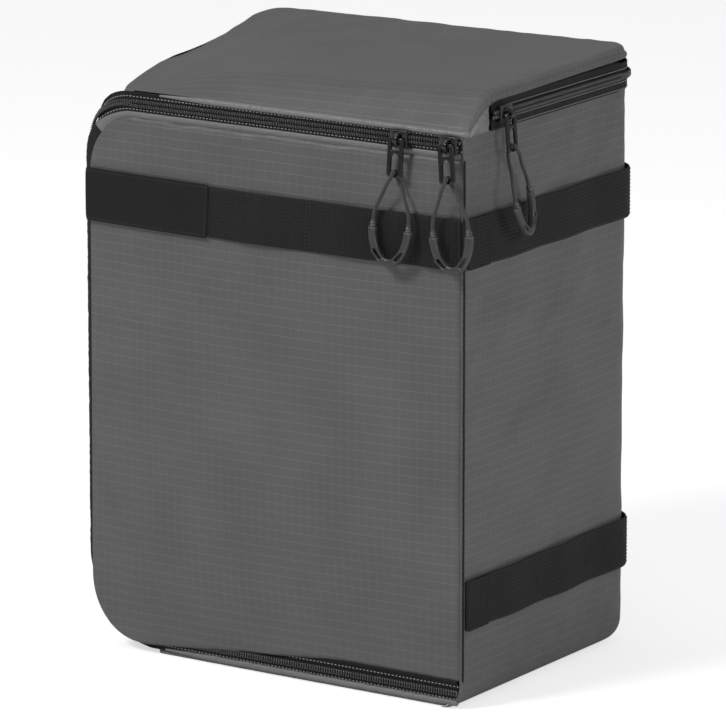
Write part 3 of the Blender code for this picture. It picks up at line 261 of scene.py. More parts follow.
def door_left_edge(z):
    """Return the x of the door's left edge, rounded at the top and the bottom."""
    top, bottom = UPPER_LEFT_RADIUS, LOWER_LEFT_RADIUS
    return -DOOR_SIDE + round_over(top, DOOR_TOP - z) + round_over(bottom, z - DOOR_BOTTOM)


def door_right_edge(z):
    """Return the x of the door's right edge, beside the hinge seam."""
    small = DOOR_RIGHT_RADIUS
    return DOOR_SIDE - round_over(small, DOOR_TOP - z) - round_over(small, z - DOOR_BOTTOM)


def door_surface(x, z):
    """Return a point of the door's outer surface, swollen forward of its edges."""
    left = door_left_edge(z)
    across = 2 * (x - left) / (door_right_edge(z) - left) - 1
    upright = 2 * (z - DOOR_BOTTOM) / (DOOR_TOP - DOOR_BOTTOM) - 1
    crown = DOOR_CROWN * max(1 - across * across, 0.0) * max(1 - upright * upright, 0.0)
    return Vector((x, -DOOR_FACE - crown, z))


def door_frame(x, z):
    """Return the place, the upward direction along the door and the outward normal."""
    place = door_surface(x, z)
    along = door_surface(x + SAMPLE_STEP, z) - door_surface(x - SAMPLE_STEP, z)
    up = door_surface(x, z + SAMPLE_STEP) - door_surface(x, z - SAMPLE_STEP)
    outward = along.cross(up).normalized()
    return place, outward.cross(along).normalized(), outward


def door_zip_stations():
    """Return the door zip's stations, each with its place, across and outward directions."""
    stations = []
    top_radius, low_radius = UPPER_LEFT_RADIUS, LOWER_LEFT_RADIUS
    top_start = -DOOR_ZIP_SIDE + top_radius
    low_start = -DOOR_ZIP_SIDE + low_radius

    def add(x, y, z, tangent, roll, radial):
        outward = -BACK * math.cos(roll) + radial * math.sin(roll)
        stations.append((Vector((x, -y, z)), outward.cross(tangent), outward))

    for x in spread(DOOR_ZIP_END, top_start, 4):
        add(x, DOOR_ZIP_FACE, DOOR_ZIP_HEIGHT, -RIGHT, 0.0, UP)
    for step in range(1, ZIP_TURN_STEPS + 1):
        share = step / ZIP_TURN_STEPS
        turn = math.pi / 2 * share
        smooth = share * share * (3 - 2 * share)
        radial = Vector((-math.sin(turn), 0.0, math.cos(turn)))
        tangent = Vector((-math.cos(turn), 0.0, -math.sin(turn)))
        face = DOOR_ZIP_FACE + (DOOR_ZIP_SIDE_FACE - DOOR_ZIP_FACE) * smooth
        add(top_start + radial.x * top_radius, face,
            DOOR_ZIP_HEIGHT - top_radius + radial.z * top_radius, tangent,
            math.pi / 2 * smooth, radial)
    upper = DOOR_ZIP_HEIGHT - top_radius
    lower = DOOR_ZIP_BOTTOM + low_radius
    for z in spread(upper, lower, 5)[1:]:
        add(-DOOR_ZIP_SIDE, DOOR_ZIP_SIDE_FACE, z, -UP, math.pi / 2, -RIGHT)
    for step in range(1, ZIP_TURN_STEPS + 1):
        share = step / ZIP_TURN_STEPS
        turn = math.pi / 2 * share
        smooth = share * share * (3 - 2 * share)
        radial = Vector((-math.cos(turn), 0.0, -math.sin(turn)))
        tangent = Vector((math.sin(turn), 0.0, -math.cos(turn)))
        face = DOOR_ZIP_SIDE_FACE + (DOOR_ZIP_BOTTOM_FACE - DOOR_ZIP_SIDE_FACE) * smooth
        add(low_start + radial.x * low_radius, face, lower + radial.z * low_radius, tangent,
            math.pi / 2 * (1 - smooth), radial)
    for x in spread(low_start, DOOR_ZIP_LOW_END, 4)[1:]:
        add(x, DOOR_ZIP_BOTTOM_FACE, DOOR_ZIP_BOTTOM, RIGHT, 0.0, -UP)
    return stations


def lid_zip_place(run):
    """Return the place of the lid zip's middle line and the outward direction at a run."""
    place, out = plan(run)
    drop = rim_drop(place.x, place.y)
    point = place + out * (LID_ZIP_STAND_OFF - drop)
    point.z = LID_ZIP_HEIGHT - drop
    return point, out


def lid_zip_stations():
    """Return the lid zip's stations: back along the right, across the back, down the left."""
    start = HALF_DEPTH - LID_ZIP_RIGHT_START
    end = PLAN_RUN - HALF_DEPTH + LID_ZIP_LEFT_END
    runs = spread(start, SIDE_RUN, 6)
    for low, high in ((SIDE_RUN, BACK_START), (BACK_START, LEFT_START),
                      (LEFT_START, LEFT_START + CORNER_RUN), (LEFT_START + CORNER_RUN, end)):
        runs += spread(low, high, 8)[1:]
    stations = []
    for run in runs:
        place, out = lid_zip_place(run)
        along = (lid_zip_place(run + SAMPLE_STEP)[0] - lid_zip_place(run - SAMPLE_STEP)[0])
        along.normalize()
        outward = (out - along * out.dot(along)).normalized()
        stations.append((place, outward.cross(along), outward))
    return stations


def finer_stations(stations, step):
    """Return the stations of a strip resampled at a shorter step, each with its run."""
    finer = []
    run = 0.0
    for first, second in zip(stations, stations[1:]):
        length = (second[0] - first[0]).length
        count = max(round(length / step), 1)
        for index in range(count):
            share = index / count
            mixed = [a.lerp(b, share) for a, b in zip(first, second)]
            finer.append((mixed[0], mixed[1].normalized(), mixed[2].normalized(), run + length * share))
        run += length
    finer.append((*stations[-1], run))
    return finer


# Mesh making

WEAVE = "Weave"
SMOOTH_ANGLE = math.radians(38.0)


def weave_map(mesh, corners):
    """Give a mesh its weave map from a place in metres for each face corner, in face order."""
    layer = mesh.uv_layers.new(name=WEAVE)
    layer.data.foreach_set("uv", np.array(corners, dtype=np.float32).ravel())


def built(name, places, faces, corners, sharp=True):
    """Return a smooth mesh from places, faces and the weave place of each face corner."""
    mesh = bpy.data.meshes.new(name)
    mesh.from_pydata([tuple(place) for place in places], [], faces)
    weave_map(mesh, corners)
    mesh.validate()
    mesh.shade_smooth()
    if sharp:
        mesh.set_sharp_from_angle(angle=SMOOTH_ANGLE)
    return mesh


def outward_faces(mesh):
    """Turn a closed mesh's faces outward."""
    shape = bmesh.new()
    shape.from_mesh(mesh)
    bmesh.ops.recalc_face_normals(shape, faces=shape.faces)
    shape.to_mesh(mesh)
    shape.free()
    return mesh


def show(name, mesh, body, finishes, replaced=()):
    """Put a mesh in the scene as a piece that rides on a body and stands for CAD nodes."""
    for finish in finishes:
        mesh.materials.append(finish)
    piece = bpy.data.objects.new(name, mesh)
    bpy.context.scene.collection.objects.link(piece)
    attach(piece, body)
    if replaced:
        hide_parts(*replaced)
    return piece


def plain_copy(piece):
    """Return a plain mesh of a piece as its modifiers leave it."""
    bpy.context.view_layer.update()
    graph = bpy.context.evaluated_depsgraph_get()
    return bpy.data.meshes.new_from_object(piece.evaluated_get(graph), depsgraph=graph)


def refine(piece, thickness=0.0):
    """Give a sheet its thickness, inward, and subdivide it once."""
    if thickness:
        wall = piece.modifiers.new("thickness", "SOLIDIFY")
        wall.thickness = thickness
        wall.offset = -1.0
    soften = piece.modifiers.new("soften", "SUBSURF")
    soften.levels = 1
    soften.render_levels = 1
    return piece


def strip(name, stations, profile):
    """Sweep a closed profile of (across, outward) places along stations that hold their runs."""
    girth = [0.0]
    for here, there in zip(profile, profile[1:] + profile[:1]):
        girth.append(girth[-1] + math.dist(here, there))
    count = len(profile)
    places, faces, corners = [], [], []
    for place, across, outward, _ in stations:
        places += [place + across * a + outward * n for a, n in profile]
    for ring, (first, second) in enumerate(zip(stations, stations[1:])):
        for index in range(count):
            after = (index + 1) % count
            low, high = ring * count, (ring + 1) * count
            faces.append((low + index, low + after, high + after, high + index))
            corners += [(girth[index], first[3]), (girth[index + 1], first[3]),
                        (girth[index + 1], second[3]), (girth[index], second[3])]
    last = (len(stations) - 1) * count
    faces.append(tuple(range(count)))
    faces.append(tuple(range(last, last + count)))
    corners += [(a, n) for a, n in profile] * 2
    return outward_faces(built(name, places, faces, corners))


def rounded_strip(half, thickness, ribs=0, rib_height=0.0):
    """Return a strip's profile with round edges, its front raised in lengthwise ribs."""
    steps = max(ribs * 4, 8)
    radius = thickness / 2
    reach = half - radius
    front = []
    for step in range(steps + 1):
        share = step / steps
        across = reach - 2 * reach * share
        rise = rib_height * (0.5 - 0.5 * math.cos(math.tau * ribs * share)) if ribs else 0.0
        front.append((across, thickness + rise))
    turn = [math.pi * step / 4 for step in (1, 2, 3)]
    left = [(-reach - radius * math.sin(t), radius + radius * math.cos(t)) for t in turn]
    right = [(reach + radius * math.sin(t), radius - radius * math.cos(t)) for t in turn]
    return front + left + [(-reach, 0.0), (0.0, 0.0), (reach, 0.0)] + right


def round_profile(radius, sides):
    """Return a circle's profile."""
    turns = [math.tau * side / sides for side in range(sides)]
    return [(radius * math.cos(turn), radius * math.sin(turn)) for turn in turns]


def tube_stations(points, up):
    """Return stations along a free route, each turned as little as can be from the one before."""
    stations = []
    run = 0.0
    across = None
    for index, point in enumerate(points):
        before, after = points[max(index - 1, 0)], points[min(index + 1, len(points) - 1)]
        along = (after - before).normalized()
        if across is None:
            across = along.cross(up).normalized()
        across = (across - along * across.dot(along)).normalized()
        if index:
            run += (point - points[index - 1]).length
        stations.append((point, across, along.cross(across), run))
    return stations


def crowded(length, radius, step):
    """Return shares along a length, close together where its two ends are rounded."""
    edge_shares = (0.0, 0.08, 0.3, 0.62, 1.0)
    edge = [radius * share / length for share in edge_shares]
    count = max(round((length - 2 * radius) / step), 2)
    middle = spread(radius / length, 1 - radius / length, count)[1:-1]
    return edge + middle + [1 - share for share in reversed(edge)]


def running_lengths(grid):
    """Return how far along its row each point of a grid lies."""
    steps = np.linalg.norm(np.diff(grid, axis=1), axis=2)
    zeros = np.zeros((grid.shape[0], 1))
    return np.concatenate([zeros, np.cumsum(steps, axis=1)], axis=1)


def padded_panel(name, outer, inner, columns, rows, radius):
    """Close a padded panel between two surfaces, rounded all round its border.

    Each surface is a function of a column and a row value. The outer face is material 0 and
    the inner one material 1.
    """
    near = np.array([[outer(u, v) for u in columns] for v in rows])
    far = np.array([[inner(u, v) for u in columns] for v in rows])
    middle, half = (near + far) / 2, (near - far) / 2
    across = running_lengths(middle)
    upward = running_lengths(middle.transpose(1, 0, 2)).T
    inset = np.minimum(np.minimum(across, across[:, -1:] - across),
                       np.minimum(upward, upward[-1:, :] - upward))
    short = 1 - np.clip(inset / radius, 0.0, 1.0)
    fullness = np.sqrt(np.maximum(1 - short * short, 0.0))[:, :, None]
    row_count, column_count = inset.shape
    outside = middle + half * fullness
    inside = middle - half * fullness
    places = [Vector(point) for point in outside.reshape(-1, 3)]
    index_out = np.arange(row_count * column_count).reshape(row_count, column_count)
    index_in = index_out.copy()
    for row in range(1, row_count - 1):
        for column in range(1, column_count - 1):
            index_in[row, column] = len(places)
            places.append(Vector(inside[row, column]))
    faces, corners, sides = [], [], []
    for side, table in ((0, index_out), (1, index_in)):
        for row in range(row_count - 1):
            for column in range(column_count - 1):
                quad = [(row, column), (row, column + 1), (row + 1, column + 1), (row + 1, column)]
                if side:
                    quad.reverse()
                faces.append(tuple(int(table[place]) for place in quad))
                corners += [(across[place], upward[place]) for place in quad]
                sides.append(side)
    mesh = built(name, places, faces, corners, sharp=False)
    mesh.polygons.foreach_set("material_index", sides)
    return outward_faces(mesh)


# Node groups that several finishes share

def start_group(name, inputs, outputs):
    """Start a shader node group with named inputs, each with its default, and named outputs."""
    tree = bpy.data.node_groups.new(name, "ShaderNodeTree")
    for label, kind, value in inputs:
        socket = tree.interface.new_socket(label, in_out="INPUT", socket_type=kind)
        socket.default_value = value
    for label, kind in outputs:
        tree.interface.new_socket(label, in_out="OUTPUT", socket_type=kind)
    return tree, tree.nodes.new("NodeGroupInput"), tree.nodes.new("NodeGroupOutput")


def math_node(tree, operation, *values):
    """Add a Math node fed by numbers and sockets, and return its output."""
    node = tree.nodes.new("ShaderNodeMath")
    node.operation = operation
    for socket, value in zip(node.inputs, values):
        if isinstance(value, (int, float)):
            socket.default_value = value
        else:
            tree.links.new(value, socket)
    return node.outputs[0]


def mix_colours(tree, factor, first, second, blend="MIX"):
    """Add a colour Mix node fed by colours or sockets, and return its output."""
    node = tree.nodes.new("ShaderNodeMix")
    node.data_type = "RGBA"
    node.blend_type = blend
    for socket, value in ((node.inputs[0], factor), (node.inputs[6], first), (node.inputs[7], second)):
        if isinstance(value, (int, float)):
            socket.default_value = value
        elif isinstance(value, (tuple, list)):
            socket.default_value = (*value[:3], 1.0)
        else:
            tree.links.new(value, socket)
    return node.outputs[2]


def weave_places(tree):
    """Return the two sockets of the weave map, in metres across and along the cloth."""
    source = tree.nodes.new("ShaderNodeUVMap")
    source.uv_map = WEAVE
    split = tree.nodes.new("ShaderNodeSeparateXYZ")
    tree.links.new(source.outputs[0], split.inputs[0])
    return split.outputs[0], split.outputs[1]


def grid_lines_group():
    """Make the group for the thicker yarns that cross a ripstop cloth in squares."""
    tree, given, result = start_group(
        "Ripstop yarns",
        [("Pitch", "NodeSocketFloat", 0.0056), ("Yarn", "NodeSocketFloat", 0.0007)],
        [("Mask", "NodeSocketFloat")])
    masks = []
    for place in weave_places(tree):
        cell = math_node(tree, "FRACT", math_node(tree, "DIVIDE", place, given.outputs["Pitch"]))
        off = math_node(tree, "ABSOLUTE", math_node(tree, "SUBTRACT", cell, 0.5))
        width = math_node(tree, "DIVIDE", given.outputs["Yarn"], given.outputs["Pitch"])
        fall = math_node(tree, "DIVIDE", off, width)
        masks.append(math_node(tree, "SUBTRACT", 1.0, math_node(tree, "MINIMUM", fall, 1.0)))
    fainter = math_node(tree, "MULTIPLY", masks[0], 0.5)
    tree.links.new(math_node(tree, "MAXIMUM", fainter, masks[1]), result.inputs["Mask"])
    return tree


def plain_weave_group():
    """Make the group for a plain weave, whose yarns pass over and under each other."""
    tree, given, result = start_group(
        "Plain weave",
        [("Across", "NodeSocketFloat", 0.0008), ("Along", "NodeSocketFloat", 0.0008)],
        [("Height", "NodeSocketFloat"), ("Over", "NodeSocketFloat")])
    cells, waves = [], []
    for place, pitch in zip(weave_places(tree), ("Across", "Along")):
        ratio = math_node(tree, "DIVIDE", place, given.outputs[pitch])
        cells.append(math_node(tree, "FLOOR", ratio))
        waves.append(math_node(tree, "SINE", math_node(tree, "MULTIPLY",
                                                      math_node(tree, "FRACT", ratio), math.pi)))
    halved = math_node(tree, "MULTIPLY", math_node(tree, "ADD", *cells), 0.5)
    over = math_node(tree, "MULTIPLY", math_node(tree, "FRACT", halved), 2.0)
    under = math_node(tree, "SUBTRACT", 1.0, over)
    height = math_node(tree, "ADD", math_node(tree, "MULTIPLY", over, waves[0]),
                       math_node(tree, "MULTIPLY", under, waves[1]))
    tree.links.new(height, result.inputs["Height"])
    tree.links.new(over, result.inputs["Over"])
    return tree


def herringbone_group():
    """Make the group for the slanting ribs of woven tape, which turn back at each column."""
    tree, given, result = start_group(
        "Herringbone",
        [("Column", "NodeSocketFloat", 0.0018), ("Rib", "NodeSocketFloat", 0.0008)],
        [("Height", "NodeSocketFloat")])
    across, along = weave_places(tree)
    slant = math_node(tree, "PINGPONG", across, given.outputs["Column"])
    ratio = math_node(tree, "DIVIDE", math_node(tree, "ADD", along, slant), given.outputs["Rib"])
    wave = math_node(tree, "SINE", math_node(tree, "MULTIPLY", ratio, math.tau))
    height = math_node(tree, "MULTIPLY_ADD", wave, 0.5, 0.5)
    tree.links.new(height, result.inputs["Height"])
    return tree


def patina_group():
    """Make the group for slow changes of shade, handling marks and fine dust on a surface."""
    tree, given, result = start_group(
        "Patina",
        [("Colour", "NodeSocketColor", (0.1, 0.1, 0.1, 1.0)), ("Spread", "NodeSocketFloat", 18.0),
         ("Shade", "NodeSocketFloat", 0.15), ("Dust", "NodeSocketFloat", 0.02)],
        [("Colour", "NodeSocketColor"), ("Mask", "NodeSocketFloat")])
    place = tree.nodes.new("ShaderNodeTexCoord").outputs["Object"]

    def cloud(scale, detail):
        node = tree.nodes.new("ShaderNodeTexNoise")
        tree.links.new(place, node.inputs["Vector"])
        if isinstance(scale, float):
            node.inputs["Scale"].default_value = scale
        else:
            tree.links.new(scale, node.inputs["Scale"])
        node.inputs["Detail"].default_value = detail
        return node.outputs[0]

    slow = cloud(given.outputs["Spread"], 3.0)
    fine = cloud(1400.0, 2.0)
    swing = math_node(tree, "MULTIPLY", math_node(tree, "SUBTRACT", slow, 0.5), given.outputs["Shade"])
    grain = math_node(tree, "MULTIPLY", math_node(tree, "SUBTRACT", fine, 0.5), given.outputs["Shade"])
    factor = math_node(tree, "ADD", math_node(tree, "MULTIPLY_ADD", swing, 2.0, 1.0), grain)
    scaled = tree.nodes.new("ShaderNodeVectorMath")
    scaled.operation = "SCALE"
    tree.links.new(given.outputs["Colour"], scaled.inputs[0])
    tree.links.new(factor, scaled.inputs["Scale"])
    mask = math_node(tree, "MULTIPLY", math_node(tree, "POWER", slow, 3.0), given.outputs["Dust"])
    dusty = mix_colours(tree, mask, scaled.outputs[0], (0.5, 0.5, 0.5))
    tree.links.new(dusty, result.inputs["Colour"])
    tree.links.new(slow, result.inputs["Mask"])
    return tree


def worn_edge_group():
    """Make the group that finds the sharp outer edges of a hard piece, where it rubs bright."""
    tree, given, result = start_group(
        "Edge highlights", [("Reach", "NodeSocketFloat", 0.06)], [("Mask", "NodeSocketFloat")])
    point = tree.nodes.new("ShaderNodeNewGeometry").outputs["Pointiness"]
    above = math_node(tree, "DIVIDE", math_node(tree, "SUBTRACT", point, 0.52), given.outputs["Reach"])
    limit = math_node(tree, "MINIMUM", math_node(tree, "MAXIMUM", above, 0.0), 1.0)
    tree.links.new(limit, result.inputs["Mask"])
    return tree


GROUP_MAKERS = {
    "Ripstop yarns": grid_lines_group, "Plain weave": plain_weave_group,
    "Herringbone": herringbone_group, "Patina": patina_group, "Edge highlights": worn_edge_group,
}


# Finishes

class Finish:
    """A material in the making: its tree, its shader and the height that its bump follows."""

    def __init__(self, name, roughness, metallic=0.0, sheen=0.0, coat=0.0, specular=0.5):
        self.material = bpy.data.materials.new(name)
        self.material.use_nodes = True
        self.tree = self.material.node_tree
        self.shader = self.tree.nodes["Principled BSDF"]
        self.shader.inputs["Roughness"].default_value = roughness
        self.shader.inputs["Specular IOR Level"].default_value = specular
        self.shader.inputs["Metallic"].default_value = metallic
        self.shader.inputs["Sheen Weight"].default_value = sheen
        self.shader.inputs["Coat Weight"].default_value = coat
        self.shader.inputs["Coat Roughness"].default_value = 0.15

    def group(self, name, **values):
        """Place a shared group with its own values, and return the node."""
        node = self.tree.nodes.new("ShaderNodeGroup")
        node.node_tree = bpy.data.node_groups.get(name) or GROUP_MAKERS[name]()
        for label, value in values.items():
            node.inputs[label.replace("_", " ")].default_value = value
        return node

    def patina(self, colour, **values):
        """Colour the surface through the patina group, and return its mask."""
        node = self.group("Patina", **values)
        if isinstance(colour, tuple):
            node.inputs["Colour"].default_value = (*colour, 1.0)
        else:
            self.tree.links.new(colour, node.inputs["Colour"])
        self.tree.links.new(node.outputs["Colour"], self.shader.inputs["Base Color"])
        self.material.diffuse_color = (*colour, 1.0) if isinstance(colour, tuple) else (0.1, 0.1, 0.1, 1.0)
        return node.outputs["Mask"]

    def roughen(self, mask, low, high):
        """Let the roughness run from low to high with a mask."""
        value = math_node(self.tree, "MULTIPLY_ADD", mask, high - low, low)
        self.tree.links.new(value, self.shader.inputs["Roughness"])

    def bump(self, height, distance, strength=1.0):
        """Raise the surface by a height."""
        node = self.tree.nodes.new("ShaderNodeBump")
        node.inputs["Distance"].default_value = distance
        node.inputs["Strength"].default_value = strength
        self.tree.links.new(height, node.inputs["Height"])
        self.tree.links.new(node.outputs[0], self.shader.inputs["Normal"])

    def noise(self, scale, detail=3.0):
        """Return a cloud's value on the object's own coordinates."""
        node = self.tree.nodes.new("ShaderNodeTexNoise")
        place = self.tree.nodes.new("ShaderNodeTexCoord").outputs["Object"]
        self.tree.links.new(place, node.inputs["Vector"])
        node.inputs["Scale"].default_value = scale
        node.inputs["Detail"].default_value = detail
        return node.outputs[0]


def made_once(make):
    """Return a finish's maker that hands out the same material each time."""
    def once():
        found = bpy.data.materials.get(make.__name__)
        return found or make(make.__name__)
    once.__doc__ = make.__doc__
    return once


def colours():
    """Return the insert's colours from the scene's settings."""
    return bpy.context.scene.bag_insert_colours


def shaded(colour, share):
    """Return a colour made lighter or darker by a share."""
    return tuple(min(part * share, 1.0) for part in colour)


# The hems are painted lighter than the panels: partly a paler cloth, partly a painted highlight on their
# rolled edges.
HEM_TONE_AND_HIGHLIGHT_SHARE = 1.75


def ripstop(name, yarns):
    """Make the grey nylon of the panels, with its squares of thicker yarn where it shows them."""
    finish = Finish(name, 0.36)
    tree = finish.tree
    weave = finish.group("Plain weave", Across=0.00042, Along=0.00042)
    # Hems are painted lighter, partly as a highlight.
    base = shaded(colours().fabric, 1.0 if yarns else HEM_TONE_AND_HIGHLIGHT_SHARE)
    over = math_node(tree, "MULTIPLY", weave.outputs["Over"], 0.35)
    shade = mix_colours(tree, over, base, shaded(base, 1.25))
    height = math_node(tree, "MULTIPLY", weave.outputs["Height"], 0.35)
    if yarns:
        lines = finish.group("Ripstop yarns", Pitch=sizes().square_pitch, Yarn=0.00040)
        mask = lines.outputs["Mask"]
        lit = math_node(tree, "MULTIPLY", mask, 0.75)
        shade = mix_colours(tree, lit, shade, shaded(base, 1.65))
        height = math_node(tree, "ADD", height, math_node(tree, "MULTIPLY", mask, 0.8))
    mask = finish.patina(shade, Spread=26.0, Shade=0.16, Dust=0.03)
    finish.roughen(mask, 0.26, 0.46)
    finish.bump(height, 0.00012, 0.5)
    return finish.material


@made_once
def grey_ripstop(name):
    """Make the panels' cloth."""
    return ripstop(name, True)


@made_once
def grey_hem(name):
    """Make the plain grey cloth of folded edges and bindings."""
    return ripstop(name, False)


@made_once
def black_webbing(name):
    """Make the black band yarn, with small lit flecks where a yarn comes over."""
    finish = Finish(name, 0.55, specular=0.3)
    weave = finish.group("Plain weave", Across=0.0011, Along=0.0008)
    base = colours().webbing
    yarn_highlight = math_node(finish.tree, "MULTIPLY", weave.outputs["Height"], weave.outputs["Over"])
    # The tops of the yarns are painted lighter as a highlight.
    shade = mix_colours(finish.tree, math_node(finish.tree, "MULTIPLY", yarn_highlight, 0.5),
                        shaded(base, 0.75), shaded(base, 4.5))
    finish.patina(shade, Spread=30.0, Shade=0.15, Dust=0.02)
    finish.bump(weave.outputs["Height"], 0.00022, 0.8)
    return finish.material


@made_once
def smooth_patch(name):
    """Make the smooth black face of the bare patch."""
    finish = Finish(name, 0.5, specular=0.25)
    weave = finish.group("Plain weave", Across=0.0005, Along=0.0005)
    finish.patina(shaded(colours().webbing, 0.9), Spread=16.0, Shade=0.2, Dust=0.01)
    finish.bump(weave.outputs["Height"], 0.00006, 0.5)
    return finish.material


@made_once
def black_tape(name):
    """Make the herringbone tape of the zips."""
    finish = Finish(name, 0.6, specular=0.25)
    ribs = finish.group("Herringbone", Column=0.0018, Rib=0.0009)
    base = colours().webbing
    shade = mix_colours(finish.tree, math_node(finish.tree, "MULTIPLY", ribs.outputs["Height"], 0.4),
                        shaded(base, 0.8), shaded(base, 2.2))
    finish.patina(shade, Spread=40.0, Shade=0.12, Dust=0.02)
    finish.bump(ribs.outputs["Height"], 0.00015, 0.7)
    return finish.material


@made_once
def coil_nylon(name):
    """Make the glossy black nylon of the coils."""
    finish = Finish(name, 0.2, specular=1.0)
    # Painted highlight: a grey base in place of the teeth's black.
    mask = finish.patina((0.08, 0.08, 0.083), Spread=60.0, Shade=0.2, Dust=0.01)
    finish.roughen(mask, 0.18, 0.30)
    finish.bump(finish.noise(2500.0), 0.00003, 0.4)
    return finish.material


@made_once
def painted_zinc(name):
    """Make the black painted zinc of the sliders and tabs, rubbed at its edges."""
    finish = Finish(name, 0.2, metallic=0.0, coat=0.3)
    edge_highlight = finish.group("Edge highlights", Reach=0.08).outputs["Mask"]
    # The sharp edges are painted lighter as a highlight.
    shade = mix_colours(finish.tree, math_node(finish.tree, "MULTIPLY", edge_highlight, 0.35),
                        (0.006, 0.006, 0.0065), (0.12, 0.12, 0.12))
    mask = finish.patina(shade, Spread=70.0, Shade=0.2, Dust=0.01)
    finish.roughen(mask, 0.17, 0.30)
    finish.bump(finish.noise(900.0), 0.00004, 0.3)
    return finish.material


@made_once
def grey_cord(name):
    """Make the braided grey cord of the pulls."""
    finish = Finish(name, 0.6, sheen=0.2)
    tree = finish.tree
    around, along = weave_places(tree)
    waves = []
    for sign in (1.0, -1.0):
        slant = math_node(tree, "MULTIPLY_ADD", around, sign * math.tau / 0.00115,
                          math_node(tree, "MULTIPLY", along, math.tau / 0.0016))
        waves.append(math_node(tree, "SINE", slant))
    height = math_node(tree, "MULTIPLY_ADD", math_node(tree, "MAXIMUM", *waves), 0.5, 0.5)
    base = colours().cord
    shade = mix_colours(tree, height, shaded(base, 0.25), shaded(base, 0.8))
    finish.patina(shade, Spread=90.0, Shade=0.1, Dust=0.02)
    finish.bump(height, 0.00018, 0.8)
    return finish.material


@made_once
def grey_grip(name):
    """Make the fine grained rubber of the grips."""
    finish = Finish(name, 0.34, specular=0.7)
    edge_highlight = finish.group("Edge highlights", Reach=0.06).outputs["Mask"]
    base = shaded(colours().grip, 0.55)
    # The edges are painted lighter as a highlight.
    shade = mix_colours(finish.tree, math_node(finish.tree, "MULTIPLY", edge_highlight, 0.6), base,
                        shaded(base, 3.2))
    mask = finish.patina(shade, Spread=80.0, Shade=0.12, Dust=0.03)
    finish.roughen(mask, 0.28, 0.42)
    finish.bump(finish.noise(1800.0, 2.0), 0.00005, 0.5)
    return finish.material


@made_once
def foam_binding(name):
    """Make the dark binding cloth round the foam boards."""
    finish = Finish(name, 0.75, sheen=0.15)
    weave = finish.group("Plain weave", Across=0.0006, Along=0.0006)
    finish.patina((0.05, 0.05, 0.052), Spread=25.0, Shade=0.15, Dust=0.02)
    finish.bump(weave.outputs["Height"], 0.00010, 0.6)
    return finish.material


@made_once
def brushed_lining(name):
    """Make the brushed loop cloth inside, with its short ruffled pile."""
    finish = Finish(name, 0.9, sheen=0.35)
    pile = finish.noise(1100.0, 4.0)
    base = colours().lining
    shade = mix_colours(finish.tree, pile, shaded(base, 0.75), shaded(base, 1.3))
    finish.patina(shade, Spread=14.0, Shade=0.25, Dust=0.03)
    finish.bump(pile, 0.0005, 0.6)
    return finish.material


@made_once
def hook_rows(name):
    """Make the hook tape, a black tape with rows of stiff hooks."""
    finish = Finish(name, 0.5)
    tree = finish.tree
    cells = tree.nodes.new("ShaderNodeTexVoronoi")
    tree.links.new(tree.nodes.new("ShaderNodeTexCoord").outputs["Object"], cells.inputs["Vector"])
    cells.inputs["Scale"].default_value = 750.0
    cells.inputs["Randomness"].default_value = 0.25
    height = math_node(tree, "SUBTRACT", 1.0, cells.outputs["Distance"])
    finish.patina((0.02, 0.02, 0.021), Spread=40.0, Shade=0.15, Dust=0.03)
    finish.bump(height, 0.0006, 0.8)
    return finish.material


def thread(name, shade):
    """Make a sewing thread with a twist along it."""
    finish = Finish(name, 0.5, sheen=0.1)
    finish.patina(shade, Spread=120.0, Shade=0.2, Dust=0.0)
    finish.bump(finish.noise(3000.0), 0.00005, 0.5)
    return finish.material


@made_once
def light_thread(name):
    """Make the grey thread along the tapes and hems."""
    return thread(name, shaded(colours().fabric, 4.5))


@made_once
def dark_thread(name):
    """Make the black thread of the bands and the patch."""
    return thread(name, (0.03, 0.03, 0.031))


# Cloth sheets

SHEET_STEP = 0.0055
CLOTH_THICKNESS = 0.0006
BAND_PRESS_FADE = 0.004
GATHER_REACH = 0.012
MOST_INWARD = 0.0002
CRUMPLE_PITCH = 45.0
CRUMPLE_START = 0.00035
FINE_CRUMPLE_PITCH_SHARE = 2.7
FINE_CRUMPLE_START = 0.00015


def sizes():
    """Return the insert's fine sizes from the scene's settings."""
    return bpy.context.scene.bag_insert_sizes


def grid_normals(grid, facing):
    """Return the unit normals of a grid of points, on the side that it faces."""
    normals = np.cross(np.gradient(grid, axis=1), np.gradient(grid, axis=0))
    normals /= np.maximum(np.linalg.norm(normals, axis=2, keepdims=True), 1e-12)
    return normals * facing


